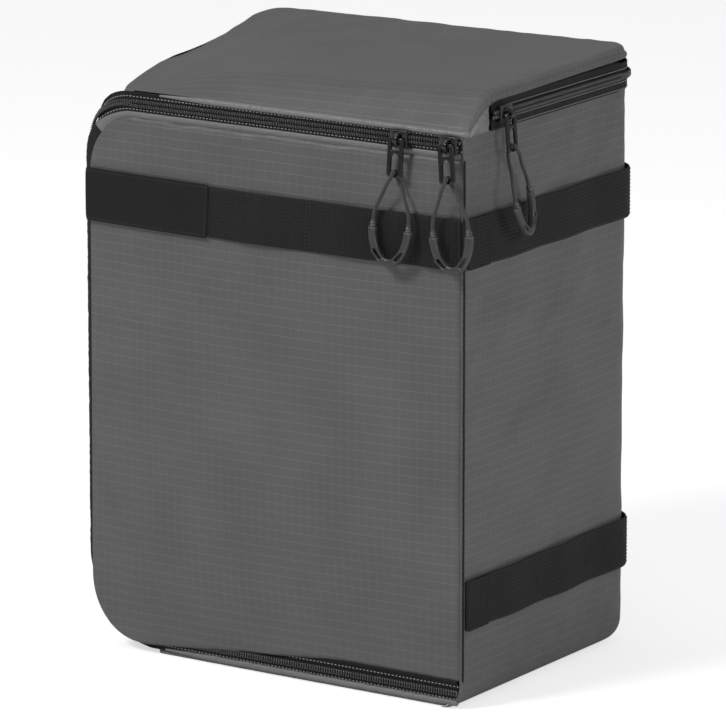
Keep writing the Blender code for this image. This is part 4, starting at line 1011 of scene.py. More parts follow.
class Sheet:
    """A grid of cloth with its weave places, which a border can be hemmed to."""

    def __init__(self, grid, weave, facing):
        self.grid = np.array(grid, dtype=float)
        self.weave = [list(row) for row in weave]
        self.normals = grid_normals(self.grid, facing)
        self.facing = facing
        across = running_lengths(self.grid)
        upward = running_lengths(self.grid.transpose(1, 0, 2)).T
        self.inset = np.minimum(np.minimum(across, across[:, -1:] - across),
                                np.minimum(upward, upward[-1:, :] - upward))
        self.extra, self.extra_weave, self.extra_faces = [], [], []

    def index(self, row, column):
        """Return the number of a grid point in the mesh."""
        return row * self.grid.shape[1] + column

    def hem(self, border, core, steps, closed=False):
        """Turn a border over in rings, each an outward and an inward distance.

        A third distance, where a ring has one, goes further inward on the left.
        """
        count = len(border)
        base = self.grid.shape[0] * self.grid.shape[1]
        rings = [[self.index(*cell) for cell in border]]
        points = [Vector(self.grid[cell]) for cell in border]
        for reach, inward, *further in steps:
            ring = []
            for number, cell in enumerate(border):
                before = points[number - 1] if closed or number else points[number]
                after = points[(number + 1) % count] if closed or number < count - 1 else points[number]
                out = core.cross(after - before).normalized()
                depth = inward + sum(further) * max(-out.x, 0.0) ** 2
                ring.append(base + len(self.extra))
                self.extra.append(points[number] + out * reach + core * depth)
                u, v = self.weave[cell[0]][cell[1]]
                self.extra_weave.append((u, v + reach + depth))
            rings.append(ring)
        spans = count if closed else count - 1
        for near, far in zip(rings, rings[1:]):
            for number in range(spans):
                after = (number + 1) % count
                self.extra_faces.append((near[number], near[after], far[after], far[number]))

    def displace(self, amount):
        """Move the grid's points outward by an amount for each."""
        self.grid += self.normals * amount[:, :, None]

    def mesh(self, name):
        """Return the sheet's mesh, its hem included, facing outward."""
        rows, columns = self.inset.shape
        places = list(self.grid.reshape(-1, 3)) + [tuple(point) for point in self.extra]
        weave = [place for row in self.weave for place in row] + self.extra_weave
        faces = []
        for row in range(rows - 1):
            for column in range(columns - 1):
                quad = (self.index(row, column), self.index(row, column + 1),
                        self.index(row + 1, column + 1), self.index(row + 1, column))
                faces.append(quad if self.facing > 0 else quad[::-1])
        faces += self.extra_faces
        corners = [weave[index] for face in faces for index in face]
        mesh = built(name, places, faces, corners, sharp=False)
        shape = bmesh.new()
        shape.from_mesh(mesh)
        shape.faces.ensure_lookup_table()
        lead = shape.faces[(rows // 2) * (columns - 1) + columns // 2]
        wanted = lead.normal.copy()
        bmesh.ops.recalc_face_normals(shape, faces=shape.faces)
        if lead.normal.dot(wanted) < 0:
            bmesh.ops.reverse_faces(shape, faces=shape.faces)
        shape.to_mesh(mesh)
        shape.free()
        return mesh


def slack(sheet, limit, held, surplus):
    """Let a sheet cut slightly too large crumple between its seams, and return how far it stands off.

    The crumpling is a cloth simulation on a copy of the sheet, pinned where it is held.
    """
    rows, columns = sheet.inset.shape
    start = np.zeros((rows, columns))
    for row in range(rows):
        for column in range(columns):
            place = Vector(sheet.grid[row, column]) * CRUMPLE_PITCH
            start[row, column] = (noise.noise(place) * CRUMPLE_START
                                  + noise.noise(place * FINE_CRUMPLE_PITCH_SHARE) * FINE_CRUMPLE_START)
    rest = sheet.grid + sheet.normals * (start * (1 - held))[:, :, None]
    faces = [(sheet.index(row, column), sheet.index(row, column + 1),
              sheet.index(row + 1, column + 1), sheet.index(row + 1, column))
             for row in range(rows - 1) for column in range(columns - 1)]
    mesh = bpy.data.meshes.new("cloth_trial")
    mesh.from_pydata([tuple(place) for place in rest.reshape(-1, 3)], [], faces)
    trial = bpy.data.objects.new("cloth_trial", mesh)
    bpy.context.scene.collection.objects.link(trial)
    pins = trial.vertex_groups.new(name="held")
    for index, weight in enumerate(held.ravel()):
        if weight > 0:
            pins.add([index], float(weight), "REPLACE")
    cloth = trial.modifiers.new("cloth", "CLOTH")
    cloth.settings.quality = 5
    cloth.settings.mass = 0.12
    cloth.settings.tension_stiffness = 25.0
    cloth.settings.compression_stiffness = 25.0
    cloth.settings.shear_stiffness = 12.0
    cloth.settings.bending_stiffness = 0.08
    cloth.settings.vertex_group_mass = pins.name
    cloth.settings.shrink_min = -surplus
    cloth.settings.effector_weights.gravity = 0.0
    frames = sizes().cloth_frames
    cloth.point_cache.frame_start = 1
    cloth.point_cache.frame_end = frames
    for number in range(1, frames + 1):
        bpy.context.scene.frame_set(number)
    moved = plain_copy(trial)
    after = np.empty(len(moved.vertices) * 3)
    moved.vertices.foreach_get("co", after)
    bpy.context.scene.frame_set(1)
    bpy.data.objects.remove(trial, do_unlink=True)
    stand_off = ((after.reshape(rows, columns, 3) - sheet.grid) * sheet.normals).sum(axis=2)
    return np.clip(stand_off, -MOST_INWARD, limit)


def seam_gathers(sheet, height, pitch):
    """Return the small gathers that run in from a sheet's seams."""
    rows, columns = sheet.inset.shape
    gathers = np.zeros((rows, columns))
    for row in range(rows):
        for column in range(columns):
            place = Vector(sheet.grid[row, column]) / pitch
            gathers[row, column] = noise.noise(place) * 1.4
    reach = sheet.inset / GATHER_REACH
    return gathers * height * reach * np.exp(1 - reach) * (sheet.inset > 0)


def crease(sheet, start, end, width, height):
    """Return a soft fold raised along the line between two places."""
    line = np.array(end) - np.array(start)
    length = np.linalg.norm(line)
    share = np.clip(((sheet.grid - np.array(start)) @ line) / length ** 2, 0.0, 1.0)
    nearest = np.array(start) + share[:, :, None] * line
    away = np.linalg.norm(sheet.grid - nearest, axis=2)
    fade = np.sin(np.pi * np.clip(share, 0.05, 0.95))
    return height * fade * np.exp(-(away / width) ** 2)


def under_band(heights, height):
    """Return where a band presses a sheet flat, from 0 to 1."""
    beyond = WEBBING_WIDTH / 2 + BAND_PRESS_FADE - np.abs(heights - height)
    return np.clip(beyond / BAND_PRESS_FADE, 0.0, 1.0)


def creased(sheet, creases):
    """Return the sum of a sheet's creases."""
    return sum(crease(sheet, *values) for values in creases)


# Outer fabric

DOOR_EDGE_RADIUS = 0.003
DOOR_OVERLAP = 0.0008
DOOR_SLOUCH = 0.011
DOOR_SLOUCH_PROUD = 0.0024
CLOTH_CORNER_RADIUS = 0.036
CLOTH_DRAWN_IN = 0.0017
SEAM_TURN = -0.1285
LEFT_ZIP_PROUD = 0.0014
LID_SLUMP = 0.0118
SLUMP_PEAK_SHARE = 0.17
SLUMP_REACH_SHARE = 0.22
SLUMP_FALL_START_SHARE = 0.15
LEFT_ROLL_LOSS = 0.0030
LEFT_ROLL_SHARE = 0.08
LID_ZIP_SUNK_SHARE = 0.18
LID_ZIP_RAISE = 0.045

# Slack, gathers and where each cloth is sewn down
DOOR_SEWN_MARGIN = 0.0035
SEWN_MARGIN = 0.003
SLACK_FADE = 0.014
BAND_HOLD_SHARE = 0.6
BASE_HOLD_SHARE = 0.6
LID_SLACK_SHARE = 0.6
LID_SURPLUS_SHARE = 0.8
GATHER_HEIGHT = 0.0007
PANEL_GATHER_PITCH = 0.008
LID_GATHER_PITCH = 0.007

# Hems, each ring as its distances outward and inward, and how much further in on the left
DOOR_HEM = ((DOOR_OVERLAP, 0.0012, 0.002), (DOOR_OVERLAP, 0.0020, 0.005))
WALL_FRONT_HEM = ((0.0006, 0.0010), (0.0007, 0.0030))
WALL_END_HEM = ((0.0010, 0.0004), (0.0022, 0.0012))
LID_HEM = ((0.0011, 0.0005), (0.0014, 0.0012), (0.0014, 0.0026))
BASE_HEM = ((0.0004, 0.0006), (0.0002, 0.0030))
END_FOLD_HEM = ((0.0003, 0.0009), (0.0, 0.0020))

# Creases, each with its start, its end, its width and its height
DOOR_CREASES = (
    ((0.078, -0.097, 0.322), (0.122, -0.097, 0.299), 0.005, 0.0022),
    ((0.040, -0.098, 0.323), (0.062, -0.100, 0.303), 0.005, 0.0008),
    ((-0.080, -0.100, 0.322), (-0.055, -0.102, 0.300), 0.006, 0.0008),
    ((0.128, -0.097, 0.052), (0.092, -0.100, 0.030), 0.005, 0.0009),
    ((0.126, -0.097, 0.030), (0.096, -0.098, 0.021), 0.003, 0.0007),
    ((-0.100, -0.100, 0.090), (-0.020, -0.105, 0.075), 0.012, 0.0007),
    ((0.020, -0.104, 0.210), (0.105, -0.101, 0.225), 0.012, 0.0006),
)
WALL_CREASES = (
    ((0.134, -0.085, 0.044), (0.134, -0.030, 0.036), 0.005, 0.0012),
    ((0.134, -0.088, 0.030), (0.134, -0.060, 0.018), 0.004, 0.0009),
    ((0.134, -0.020, 0.040), (0.134, 0.045, 0.030), 0.006, 0.0010),
    ((0.134, 0.030, 0.046), (0.134, 0.085, 0.022), 0.006, 0.0009),
    ((0.134, -0.080, 0.240), (0.134, -0.020, 0.225), 0.010, 0.0007),
    ((0.134, -0.085, 0.320), (0.134, -0.040, 0.305), 0.006, 0.0008),
    ((0.134, 0.010, 0.120), (0.134, 0.070, 0.160), 0.014, 0.0007),
)
LID_CREASES = (
    ((0.125, -0.090, 0.346), (0.095, -0.050, 0.357), 0.005, 0.0009),
    ((-0.020, -0.090, 0.344), (-0.060, -0.030, 0.352), 0.010, 0.0006),
)


def left_slump(y, share):
    """Return how far the lid and its zip sink along the left edge, most of all near the front."""
    depth = limited((y + HALF_DEPTH) / (2 * HALF_DEPTH), 0.0, 1.0)
    rise = 1 - (1 - limited(depth / SLUMP_PEAK_SHARE, 0.0, 1.0)) ** 2
    beyond = limited((depth - SLUMP_FALL_START_SHARE) / (1 - SLUMP_FALL_START_SHARE), 0.0, 1.0)
    return LID_SLUMP * rise * (1 - beyond ** 2) * math.exp(-(share / SLUMP_REACH_SHARE) ** 2)


def slumped_lid_top(x, y, left, right):
    """Return the height of the lid's cloth, which slumps along the left edge."""
    share = limited((x - left) / (right - left), 0.0, 1.0)
    sunk = left_slump(y, share)
    flatter = LEFT_ROLL_LOSS * sunk / LID_SLUMP * math.exp(-(share / LEFT_ROLL_SHARE) ** 2)
    return lid_top(x, y, left, right) - sunk - flatter


def sunk_lid_zip():
    """Return the lid zip's stations, sunk with the lid along the left edge and rolled over it."""
    stations = []
    for place, across, outward in lid_zip_stations():
        share = (place.x + HALF_WIDTH) / (2 * HALF_WIDTH)
        sunk = left_slump(place.y, share)
        raised = limited((place.y + LID_ZIP_LEFT_END) / LID_ZIP_RAISE, 0.0, 1.0)
        proud = LEFT_ZIP_PROUD * raised * sunk / LID_SLUMP
        sunk *= 1 + LID_ZIP_SUNK_SHARE * (1 - 2 * raised)
        stations.append((place + outward * proud - UP * sunk, across, outward))
    return stations


def proud_door_zip():
    """Return the door zip's stations, standing a little proud of the left wall."""
    return [(place + outward * LEFT_ZIP_PROUD * max(-outward.x, 0.0), across, outward)
            for place, across, outward in door_zip_stations()]


def cloth_left_edge(z):
    """Return the x of the left edge of the door's cloth, fuller than its foam at the bottom."""
    top, bottom = UPPER_LEFT_RADIUS, CLOTH_CORNER_RADIUS
    edge = CLOTH_DRAWN_IN - DOOR_SIDE
    return edge + round_over(top, DOOR_TOP - z) + round_over(bottom, z - DOOR_BOTTOM)


def door_inset(x, z):
    """Return how far a point lies inside the outline of the door's cloth."""
    top_x, low_x = UPPER_LEFT_RADIUS - DOOR_SIDE, CLOTH_CORNER_RADIUS - DOOR_SIDE
    top_z, low_z = DOOR_TOP - UPPER_LEFT_RADIUS, DOOR_BOTTOM + CLOTH_CORNER_RADIUS
    if x < top_x and z > top_z:
        return UPPER_LEFT_RADIUS - math.hypot(x - top_x, z - top_z)
    if x < low_x and z < low_z:
        return CLOTH_CORNER_RADIUS - math.hypot(x - low_x, z - low_z)
    return min(x + DOOR_SIDE, DOOR_SIDE - x, DOOR_TOP - z, z - DOOR_BOTTOM)


def door_border(point, margin):
    """Return the place a margin inside the door's outline that is nearest to one outside it."""
    top = Vector((UPPER_LEFT_RADIUS - DOOR_SIDE, 0.0, DOOR_TOP - UPPER_LEFT_RADIUS))
    low = Vector((LOWER_LEFT_RADIUS - DOOR_SIDE, 0.0, DOOR_BOTTOM + LOWER_LEFT_RADIUS))
    flat = Vector((point.x, 0.0, point.z))
    for centre, radius, above in ((top, UPPER_LEFT_RADIUS, 1), (low, LOWER_LEFT_RADIUS, -1)):
        if flat.x < centre.x and (flat.z - centre.z) * above > 0:
            return centre + (flat - centre).normalized() * (radius - margin)
    flat.x = limited(flat.x, margin - DOOR_SIDE, DOOR_SIDE - margin)
    flat.z = limited(flat.z, DOOR_BOTTOM + margin, DOOR_TOP - margin)
    return flat


SEAM_STEP = 0.0013
SEAM_RUFFLE = 0.0005
SEAM_RUFFLE_PITCH = 0.0021

# The strip's rows on the tape: across the zip and outward
SEAM_OVER = (0.0050, 0.0005)
SEAM_FOLD = (0.0062, 0.0010)

# Its rows at the cloth: inside the door's outline and behind its face
SEAM_EDGE = (0.0006, 0.0014)
SEAM_UNDER = (0.0035, 0.0022)


def door_seam(on_top):
    """Return the puckered strip between the door's cloth and its zip, along the top or the rest."""
    rows = [[], [], [], [], []]
    for place, across, outward, _ in finer_stations(proud_door_zip(), SEAM_STEP):
        high = place.z > UPPER_BAND_HEIGHT
        above = high and place.x > SEAM_TURN
        shared = high and abs(place.x - SEAM_TURN) < SEAM_STEP
        if above != on_top and not shared:
            continue
        ruffle = noise.noise(place / SEAM_RUFFLE_PITCH) * SEAM_RUFFLE
        over = place + across * SEAM_OVER[0] + outward * SEAM_OVER[1]
        fold = place + across * SEAM_FOLD[0] + outward * (SEAM_FOLD[1] + ruffle)
        edge = door_border(fold, SEAM_EDGE[0]) - BACK * (DOOR_FACE - SEAM_EDGE[1])
        under = door_border(fold, SEAM_UNDER[0]) - BACK * (DOOR_FACE - SEAM_UNDER[1])
        middle = (fold + edge) / 2 + outward * (SEAM_OVER[1] + ruffle)
        for row, point in zip(rows, (over, fold, middle, edge, under)):
            row.append(point)
    weave = [[(point.x + point.y, point.z) for point in row] for row in rows]
    return Sheet(rows, weave, 1)


def door_sheet():
    """Return the door's cloth, rounded back at its border."""
    height = DOOR_TOP - DOOR_BOTTOM
    row_shares = crowded(height, 0.010, SHEET_STEP)
    column_shares = crowded(2 * DOOR_SIDE, 0.006, SHEET_STEP)
    grid, weave = [], []
    for v in row_shares:
        z = DOOR_BOTTOM + height * v
        left, right = cloth_left_edge(z), door_right_edge(z)
        row = []
        for u in column_shares:
            x = left + (right - left) * u
            point = door_surface(x, z)
            slouch = limited((0.05 - x) / 0.14, 0.0, 1.0) * (1 - v) ** 3
            point.y += round_over(DOOR_EDGE_RADIUS, door_inset(x, z)) - DOOR_SLOUCH_PROUD * slouch
            point.z -= DOOR_SLOUCH * slouch
            row.append(point)
        grid.append(row)
        weave.append([(point.x, point.z) for point in row])
    return Sheet(grid, weave, 1)


def border_cells(sheet):
    """Return the cells round a sheet's border, in order."""
    rows, columns = sheet.inset.shape
    cells = [(0, column) for column in range(columns - 1)]
    cells += [(row, columns - 1) for row in range(rows - 1)]
    cells += [(rows - 1, column) for column in range(columns - 1, 0, -1)]
    return cells + [(row, 0) for row in range(rows - 1, 0, -1)]


class BAGINSERT_OT_door_fabric(bpy.types.Operator):
    """Lay the door's grey cloth over its foam, gathered at the zip and drawn in by its band"""

    bl_idname = "bag_insert.door_fabric"
    bl_label = "Door fabric"

    def execute(self, context):
        sheet = door_sheet()
        heights = sheet.grid[:, :, 2]
        band = under_band(heights, UPPER_BAND_HEIGHT)
        held = np.where(sheet.inset < DOOR_SEWN_MARGIN, 1.0, band * BAND_HOLD_SHARE)
        limit = sizes().slack_height * np.clip(sheet.inset / SLACK_FADE, 0.15, 1.0) * (1 - 0.8 * band)
        amount = slack(sheet, limit, held, sizes().surplus_share)
        amount += seam_gathers(sheet, GATHER_HEIGHT, PANEL_GATHER_PITCH) * (1 - band)
        sheet.displace(amount + creased(sheet, DOOR_CREASES))
        sheet.hem(border_cells(sheet), BACK, DOOR_HEM, closed=True)
        mesh = sheet.mesh("door_fabric")
        piece = show("door_fabric", mesh, "door", [grey_ripstop()], ["door_skin"])
        refine(piece, CLOTH_THICKNESS)
        # Along the top the strip is drawn in the pale hem cloth. Along the side and bottom the same cloth
        # is drawn in the black tape finish, as painted shade.
        for name, on_top, finish, slot in (("top_seam", True, grey_hem, "ripstop"),
                                           ("side_seam", False, black_tape, "zip_tape")):
            seam = show(name, door_seam(on_top).mesh(name), "door", [finish()])
            refine(seam, CLOTH_THICKNESS)
        return {"FINISHED"}


def wall_row_place(run, row):
    """Return the height of a row at a run, and its place along the weave."""
    kind, value = row
    place, _ = plan(run)
    radius = base_radius(place.x, place.y)
    top = RIM_HEIGHT - rim_drop(place.x, place.y) + 0.0008
    if kind == "turn":
        return radius * (1 - math.cos(value)), radius * value - radius * (math.pi / 2 - 1)
    return radius + (top - radius) * value, radius + (top - radius) * value


WALLS_FRONT_RUN = HALF_DEPTH - DOOR_FACE + DOOR_SEAM_INSET
WALLS_END_RUN = PLAN_RUN - (HALF_DEPTH - LEFT_WALL_FRONT)


def walls_sheet():
    """Return the one cloth round the right wall, the back and the left wall."""
    length = WALLS_END_RUN - WALLS_FRONT_RUN
    runs = [WALLS_FRONT_RUN + length * share for share in crowded(length, 0.008, SHEET_STEP)]
    rows = [("turn", math.pi / 2 * share) for share in (0.0, 0.2, 0.4, 0.6, 0.8)]
    rows += [("rise", share) for share in crowded(RIM_HEIGHT - BASE_RADIUS, 0.008, SHEET_STEP)]
    grid, weave = [], []
    for row in rows:
        placed = [wall_row_place(run, row) for run in runs]
        grid.append([wall_surface(run, z) for run, (z, _) in zip(runs, placed)])
        weave.append([(run, v) for run, (_, v) in zip(runs, placed)])
    return Sheet(grid, weave, 1)


class BAGINSERT_OT_walls_fabric(bpy.types.Operator):
    """Wrap the grey cloth round the right wall, the back and the left wall"""

    bl_idname = "bag_insert.walls_fabric"
    bl_label = "Wall fabric"

    def execute(self, context):
        sheet = walls_sheet()
        heights = sheet.grid[:, :, 2]
        band = np.maximum(under_band(heights, UPPER_BAND_HEIGHT),
                          under_band(heights, LOWER_BAND_HEIGHT))
        sewn = (sheet.inset < SEWN_MARGIN) | (heights < BASE_RADIUS * BASE_HOLD_SHARE)
        held = np.where(sewn, 1.0, band * BAND_HOLD_SHARE)
        limit = sizes().slack_height * np.clip(sheet.inset / SLACK_FADE, 0.1, 1.0) * (1 - 0.85 * band)
        limit *= np.clip(heights / BASE_RADIUS, 0.0, 1.0)
        amount = slack(sheet, limit, held, sizes().surplus_share)
        gathers = seam_gathers(sheet, GATHER_HEIGHT, PANEL_GATHER_PITCH)
        amount += gathers * (1 - band) * (heights > BASE_RADIUS)
        sheet.displace(amount + creased(sheet, WALL_CREASES))
        rows, columns = sheet.inset.shape
        sheet.hem([(row, 0) for row in range(rows - 1, -1, -1)], -RIGHT, WALL_FRONT_HEM)
        sheet.hem([(row, columns - 1) for row in range(rows)], RIGHT, WALL_END_HEM)
        mesh = sheet.mesh("walls_fabric")
        piece = show("walls_fabric", mesh, "shell", [grey_ripstop()],
                     ["right_wall_skin", "back_wall_skin", "left_wall_skin"])
        refine(piece, CLOTH_THICKNESS)
        return {"FINISHED"}


def lid_sheet(front):
    """Return the lid's cloth, from the fold to the back."""
    back = HALF_DEPTH - LID_SIDE_MARGIN
    row_values = [front + (back - front) * v for v in crowded(back - front, 0.009, SHEET_STEP)]
    column_shares = crowded(2 * HALF_WIDTH, 0.006, SHEET_STEP)
    grid, weave = [], []
    for y in row_values:
        left, right = lid_outline(y, LID_SIDE_MARGIN)
        row = []
        for u in column_shares:
            x = left + (right - left) * u
            row.append(Vector((x, y, slumped_lid_top(x, y, left, right))))
        grid.append(row)
        weave.append([(point.x, point.y) for point in row])
    return Sheet(grid, weave, 1)


LID_FRONT = 0.0955 - 0.0014


class BAGINSERT_OT_lid_fabric(bpy.types.Operator):
    """Lay the lid's grey cloth from the front fold to its zip, sagging in the middle"""

    bl_idname = "bag_insert.lid_fabric"
    bl_label = "Lid fabric"

    def execute(self, context):
        sheet = lid_sheet(-LID_FRONT)
        held = np.where(sheet.inset < SEWN_MARGIN, 1.0, 0.0)
        limit = sizes().slack_height * LID_SLACK_SHARE * np.clip(sheet.inset / SLACK_FADE, 0.1, 1.0)
        amount = slack(sheet, limit, held, sizes().surplus_share * LID_SURPLUS_SHARE)
        amount += seam_gathers(sheet, GATHER_HEIGHT, LID_GATHER_PITCH)
        sheet.displace(amount + creased(sheet, LID_CREASES))
        rows, columns = sheet.inset.shape
        border = [(row, columns - 1) for row in range(rows - 1)]
        border += [(rows - 1, column) for column in range(columns - 1, 0, -1)]
        border += [(row, 0) for row in range(rows - 1, -1, -1)]
        sheet.hem(border, -UP, LID_HEM)
        mesh = sheet.mesh("lid_fabric")
        piece = show("lid_fabric", mesh, "lid", [grey_ripstop()], ["lid_skin"])
        refine(piece, CLOTH_THICKNESS)
        return {"FINISHED"}


# Foam boards with their linings

WALL_OUTER = 0.0013
WALL_INNER = 0.0107
PAD_RADIUS = 0.0034
PAD_STEP = 0.010


def base_inset(x, y):
    """Return how far in from the wall the base's edge lies, half way round the rounded edge."""
    return DIAGONAL * base_radius(x, y) + 0.0005


def base_edges(y):
    """Return the base's left and right edges at a depth."""
    back = HALF_DEPTH - BACK_RADIUS
    edges = []
    for side in (-1, 1):
        step = base_inset(side * HALF_WIDTH, y)
        reach = HALF_WIDTH - step
        if y > back:
            radius = BACK_RADIUS - step
            across = min(y - back, radius)
            reach -= radius - math.sqrt(radius * radius - across * across)
        edges.append(side * reach)
    return edges


def plan_inset(x, y):
    """Return how far a point lies inside the outline of the bag's plan, front edge left out."""
    corner_x, corner_y = abs(x) - (HALF_WIDTH - BACK_RADIUS), y - (HALF_DEPTH - BACK_RADIUS)
    if corner_x > 0 and corner_y > 0:
        return BACK_RADIUS - math.hypot(corner_x, corner_y)
    return min(HALF_WIDTH - abs(x), HALF_DEPTH - y)


def base_place(u, y):
    """Return a point of the base's underside at a share across and a depth."""
    fade = limited(1 - (y + BASE_FRONT) / (BASE_FRONT - LEFT_WALL_FRONT), 0.0, 1.0)
    y += BASE_CORNER_TRIM * fade * max(1 - 5 * u, 0.0) ** 2
    left, right = base_edges(y)
    x = left + (right - left) * u
    return Vector((x, y, round_over(base_radius(x, y), plan_inset(x, y))))


def base_layer(below):
    """Return the surface of the base at a depth inside the cloth."""
    small = 0.002
    last = HALF_DEPTH - DIAGONAL * BASE_RADIUS - 0.0005

    def surface(u, y):
        along = base_place(min(u + small, 1.0), y) - base_place(max(u - small, 0.0), y)
        ahead = base_place(u, min(y + SAMPLE_STEP, last)) - base_place(u, y - SAMPLE_STEP)
        return base_place(u, y) + along.cross(ahead).normalized() * below
    return surface


def base_rows(step):
    """Return the depths of the base's rows."""
    start, end = -BASE_FRONT, HALF_DEPTH - DIAGONAL * BASE_RADIUS - 0.0005
    return [start + (end - start) * share for share in crowded(end - start, PAD_RADIUS, step)]


class BAGINSERT_OT_base_fabric(bpy.types.Operator):
    """Lay the cloth of the underside, tucked in under the walls' cloth"""

    bl_idname = "bag_insert.base_fabric"
    bl_label = "Base fabric"

    def execute(self, context):
        surface = base_layer(0.0004)
        columns = crowded(2 * HALF_WIDTH, 0.008, 0.008)
        grid = [[surface(u, y) for u in columns] for y in base_rows(0.008)]
        weave = [[(point.x, point.y) for point in row] for row in grid]
        sheet = Sheet(grid, weave, -1)
        sheet.hem([(0, column) for column in range(len(columns) - 1, -1, -1)], UP, BASE_HEM)
        mesh = sheet.mesh("base_fabric")
        piece = show("base_fabric", mesh, "shell", [grey_ripstop()], ["base_skin"])
        refine(piece, CLOTH_THICKNESS)
        return {"FINISHED"}


def wall_layer(below):
    """Return the surface of the walls at a depth inside the cloth."""
    def surface(run, v):
        place, _ = plan(run)
        low = base_radius(place.x, place.y) * DIAGONAL + 0.0005
        top = RIM_HEIGHT - rim_drop(place.x, place.y)
        point, _, outward = wall_frame(run, low + (top - low) * v)
        return point - outward * below
    return surface


BOARD_FRONT = 0.0835
LID_BOARD_FRONT = -0.071
LID_BOARD_MARGIN = 0.0052
LID_BOARD_DEPTH = 0.0016
LID_BOARD_UNDERSIDE = 0.3465
LID_BOARD_SLUMP_SHARE = 0.6
RAIL_RADIUS = 0.004
RAIL_STEP = 0.003


class BAGINSERT_OT_foam_boards(bpy.types.Operator):
    """Make the padded boards of the walls, base, door, lid and top rail with their linings"""

    bl_idname = "bag_insert.foam_boards"
    bl_label = "Foam boards and linings"

    def execute(self, context):
        finishes = [foam_binding(), brushed_lining()]

        def pad(name, body, outer, inner, columns, rows, nodes):
            mesh = padded_panel(name, outer, inner, columns, rows, PAD_RADIUS)
            piece = show(name, mesh, body, finishes, nodes)
            refine(piece)

        first, last = HALF_DEPTH - BOARD_FRONT, WALLS_END_RUN
        runs = [first + (last - first) * share
                for share in crowded(last - first, PAD_RADIUS, PAD_STEP)]
        pad("walls_board", "shell", wall_layer(WALL_OUTER), wall_layer(WALL_INNER), runs,
            crowded(RIM_HEIGHT, PAD_RADIUS, PAD_STEP),
            ["right_wall_foam", "back_wall_foam", "left_wall_foam", "right_wall_lining",
             "back_wall_lining", "left_wall_lining"])
        pad("base_board", "shell", base_layer(WALL_OUTER), base_layer(WALL_INNER),
            crowded(2 * HALF_WIDTH, PAD_RADIUS, PAD_STEP), base_rows(PAD_STEP),
            ["base_foam", "base_lining"])

        def door_front(u, z):
            left = door_left_edge(z)
            point = door_surface(left + (door_right_edge(z) - left) * u, z)
            return point + BACK * WALL_OUTER

        def door_back(u, z):
            left = door_left_edge(z)
            return Vector((left + (door_right_edge(z) - left) * u, -DOOR_BACK, z))

        height = DOOR_TOP - DOOR_BOTTOM
        rows = [DOOR_BOTTOM + height * share for share in crowded(height, PAD_RADIUS, PAD_STEP)]
        pad("door_board", "door", door_front, door_back,
            crowded(2 * DOOR_SIDE, PAD_RADIUS, PAD_STEP), rows, ["door_foam", "door_lining"])

        front, back = LID_BOARD_FRONT, HALF_DEPTH - LID_BOARD_MARGIN

        def lid_place(u, y):
            left, right = lid_outline(y, LID_BOARD_MARGIN)
            return left + (right - left) * u

        def lid_above(u, y):
            left, right = lid_outline(y, LID_SIDE_MARGIN)
            x = lid_place(u, y)
            return Vector((x, y, slumped_lid_top(x, y, left, right) - LID_BOARD_DEPTH))

        def lid_below(u, y):
            sunk = rim_drop(-HALF_WIDTH, y) * (1 - u) + left_slump(y, u) * LID_BOARD_SLUMP_SHARE
            return Vector((lid_place(u, y), y, LID_BOARD_UNDERSIDE - sunk))

        rows = [front + (back - front) * share for share in crowded(back - front, PAD_RADIUS, PAD_STEP)]
        pad("lid_board", "lid", lid_above, lid_below, crowded(2 * HALF_WIDTH, PAD_RADIUS, PAD_STEP),
            rows, ["lid_foam", "lid_lining"])

        low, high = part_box("top_front_rail")

        def rail_face(y):
            def surface(u, v):
                return Vector((low[0] + (high[0] - low[0]) * u, y, low[2] + (high[2] - low[2]) * v))
            return surface

        pad("rail_board", "shell", rail_face(low[1]), rail_face(high[1]),
            crowded(high[0] - low[0], PAD_RADIUS, PAD_STEP),
            crowded(high[2] - low[2], RAIL_RADIUS, RAIL_STEP), ["top_front_rail"])
        return {"FINISHED"}


# Folded edges, piping and binding

PIPING_RADIUS = 0.0007
PIPING_WANDER = 0.0002
PIPING_WANDER_PITCH = 0.012
BINDING_WANDER = 0.00025
BINDING_WANDER_PITCH = 0.010

# The folded cloth at the start of the lid zip, creased towards one point of its length and height
FOLD_GATHER_SHARES = (1.1, 0.35)
FOLD_CREASE = 0.0009
FOLD_CREASES = 15.0
FOLD_FADE_SHARE = 0.3
FOLD_SWELL = 0.0024
FOLD_SWELL_POWER = 0.7
FOLD_BELOW_LID = 0.0016
FOLD_ABOVE_RIM = 0.0005
FOLD_LIFT = 0.0004

# The folded edge's first places beyond the end of the door's zip: to the right and back
WELT_START = ((0.0024, -0.0006), (0.0036, -0.0034))
WELT_OVERLAP = 0.0004
WELT_STEP = 0.0011
WELT_LIFT = 0.0002
WELT_RUFFLE = 0.0007
WELT_RUFFLE_PITCH = 0.0024
WELT_RUFFLE_SIDE_SHARE = 0.3
WELT_RADIUS = 0.0019
WELT_FADE_START = -0.045
WELT_FADE = 0.035
WELT_LEFT_SHARE = 0.35
BINDING_TAPER = 0.060
BINDING_END_SHARE = 0.8
SHELL_TAPE_WIDTH = 0.0059
DOOR_TAPE_WIDTH = 0.0058
RIM_TAPE_WIDTH = 0.0086
LID_TAPE_WIDTH = 0.0076
BEHIND_TAPE = 0.0006
GUSSET_TURN = -0.10
GUSSET_OVERLAP = 0.0014
GUSSET_SUNK = 0.0003
GUSSET_HOLLOW = 0.0004
GUSSET_WALL_MARGIN = 0.0010

# Facings: name, body, side of the zip, start and end across from its slot, and end inward
FACINGS = (
    ("rim_facing", "shell", -1, 0.0040, 0.0121, 0.0022),
    ("lid_facing", "lid", 1, 0.0030, 0.0052, 0.0085),
)


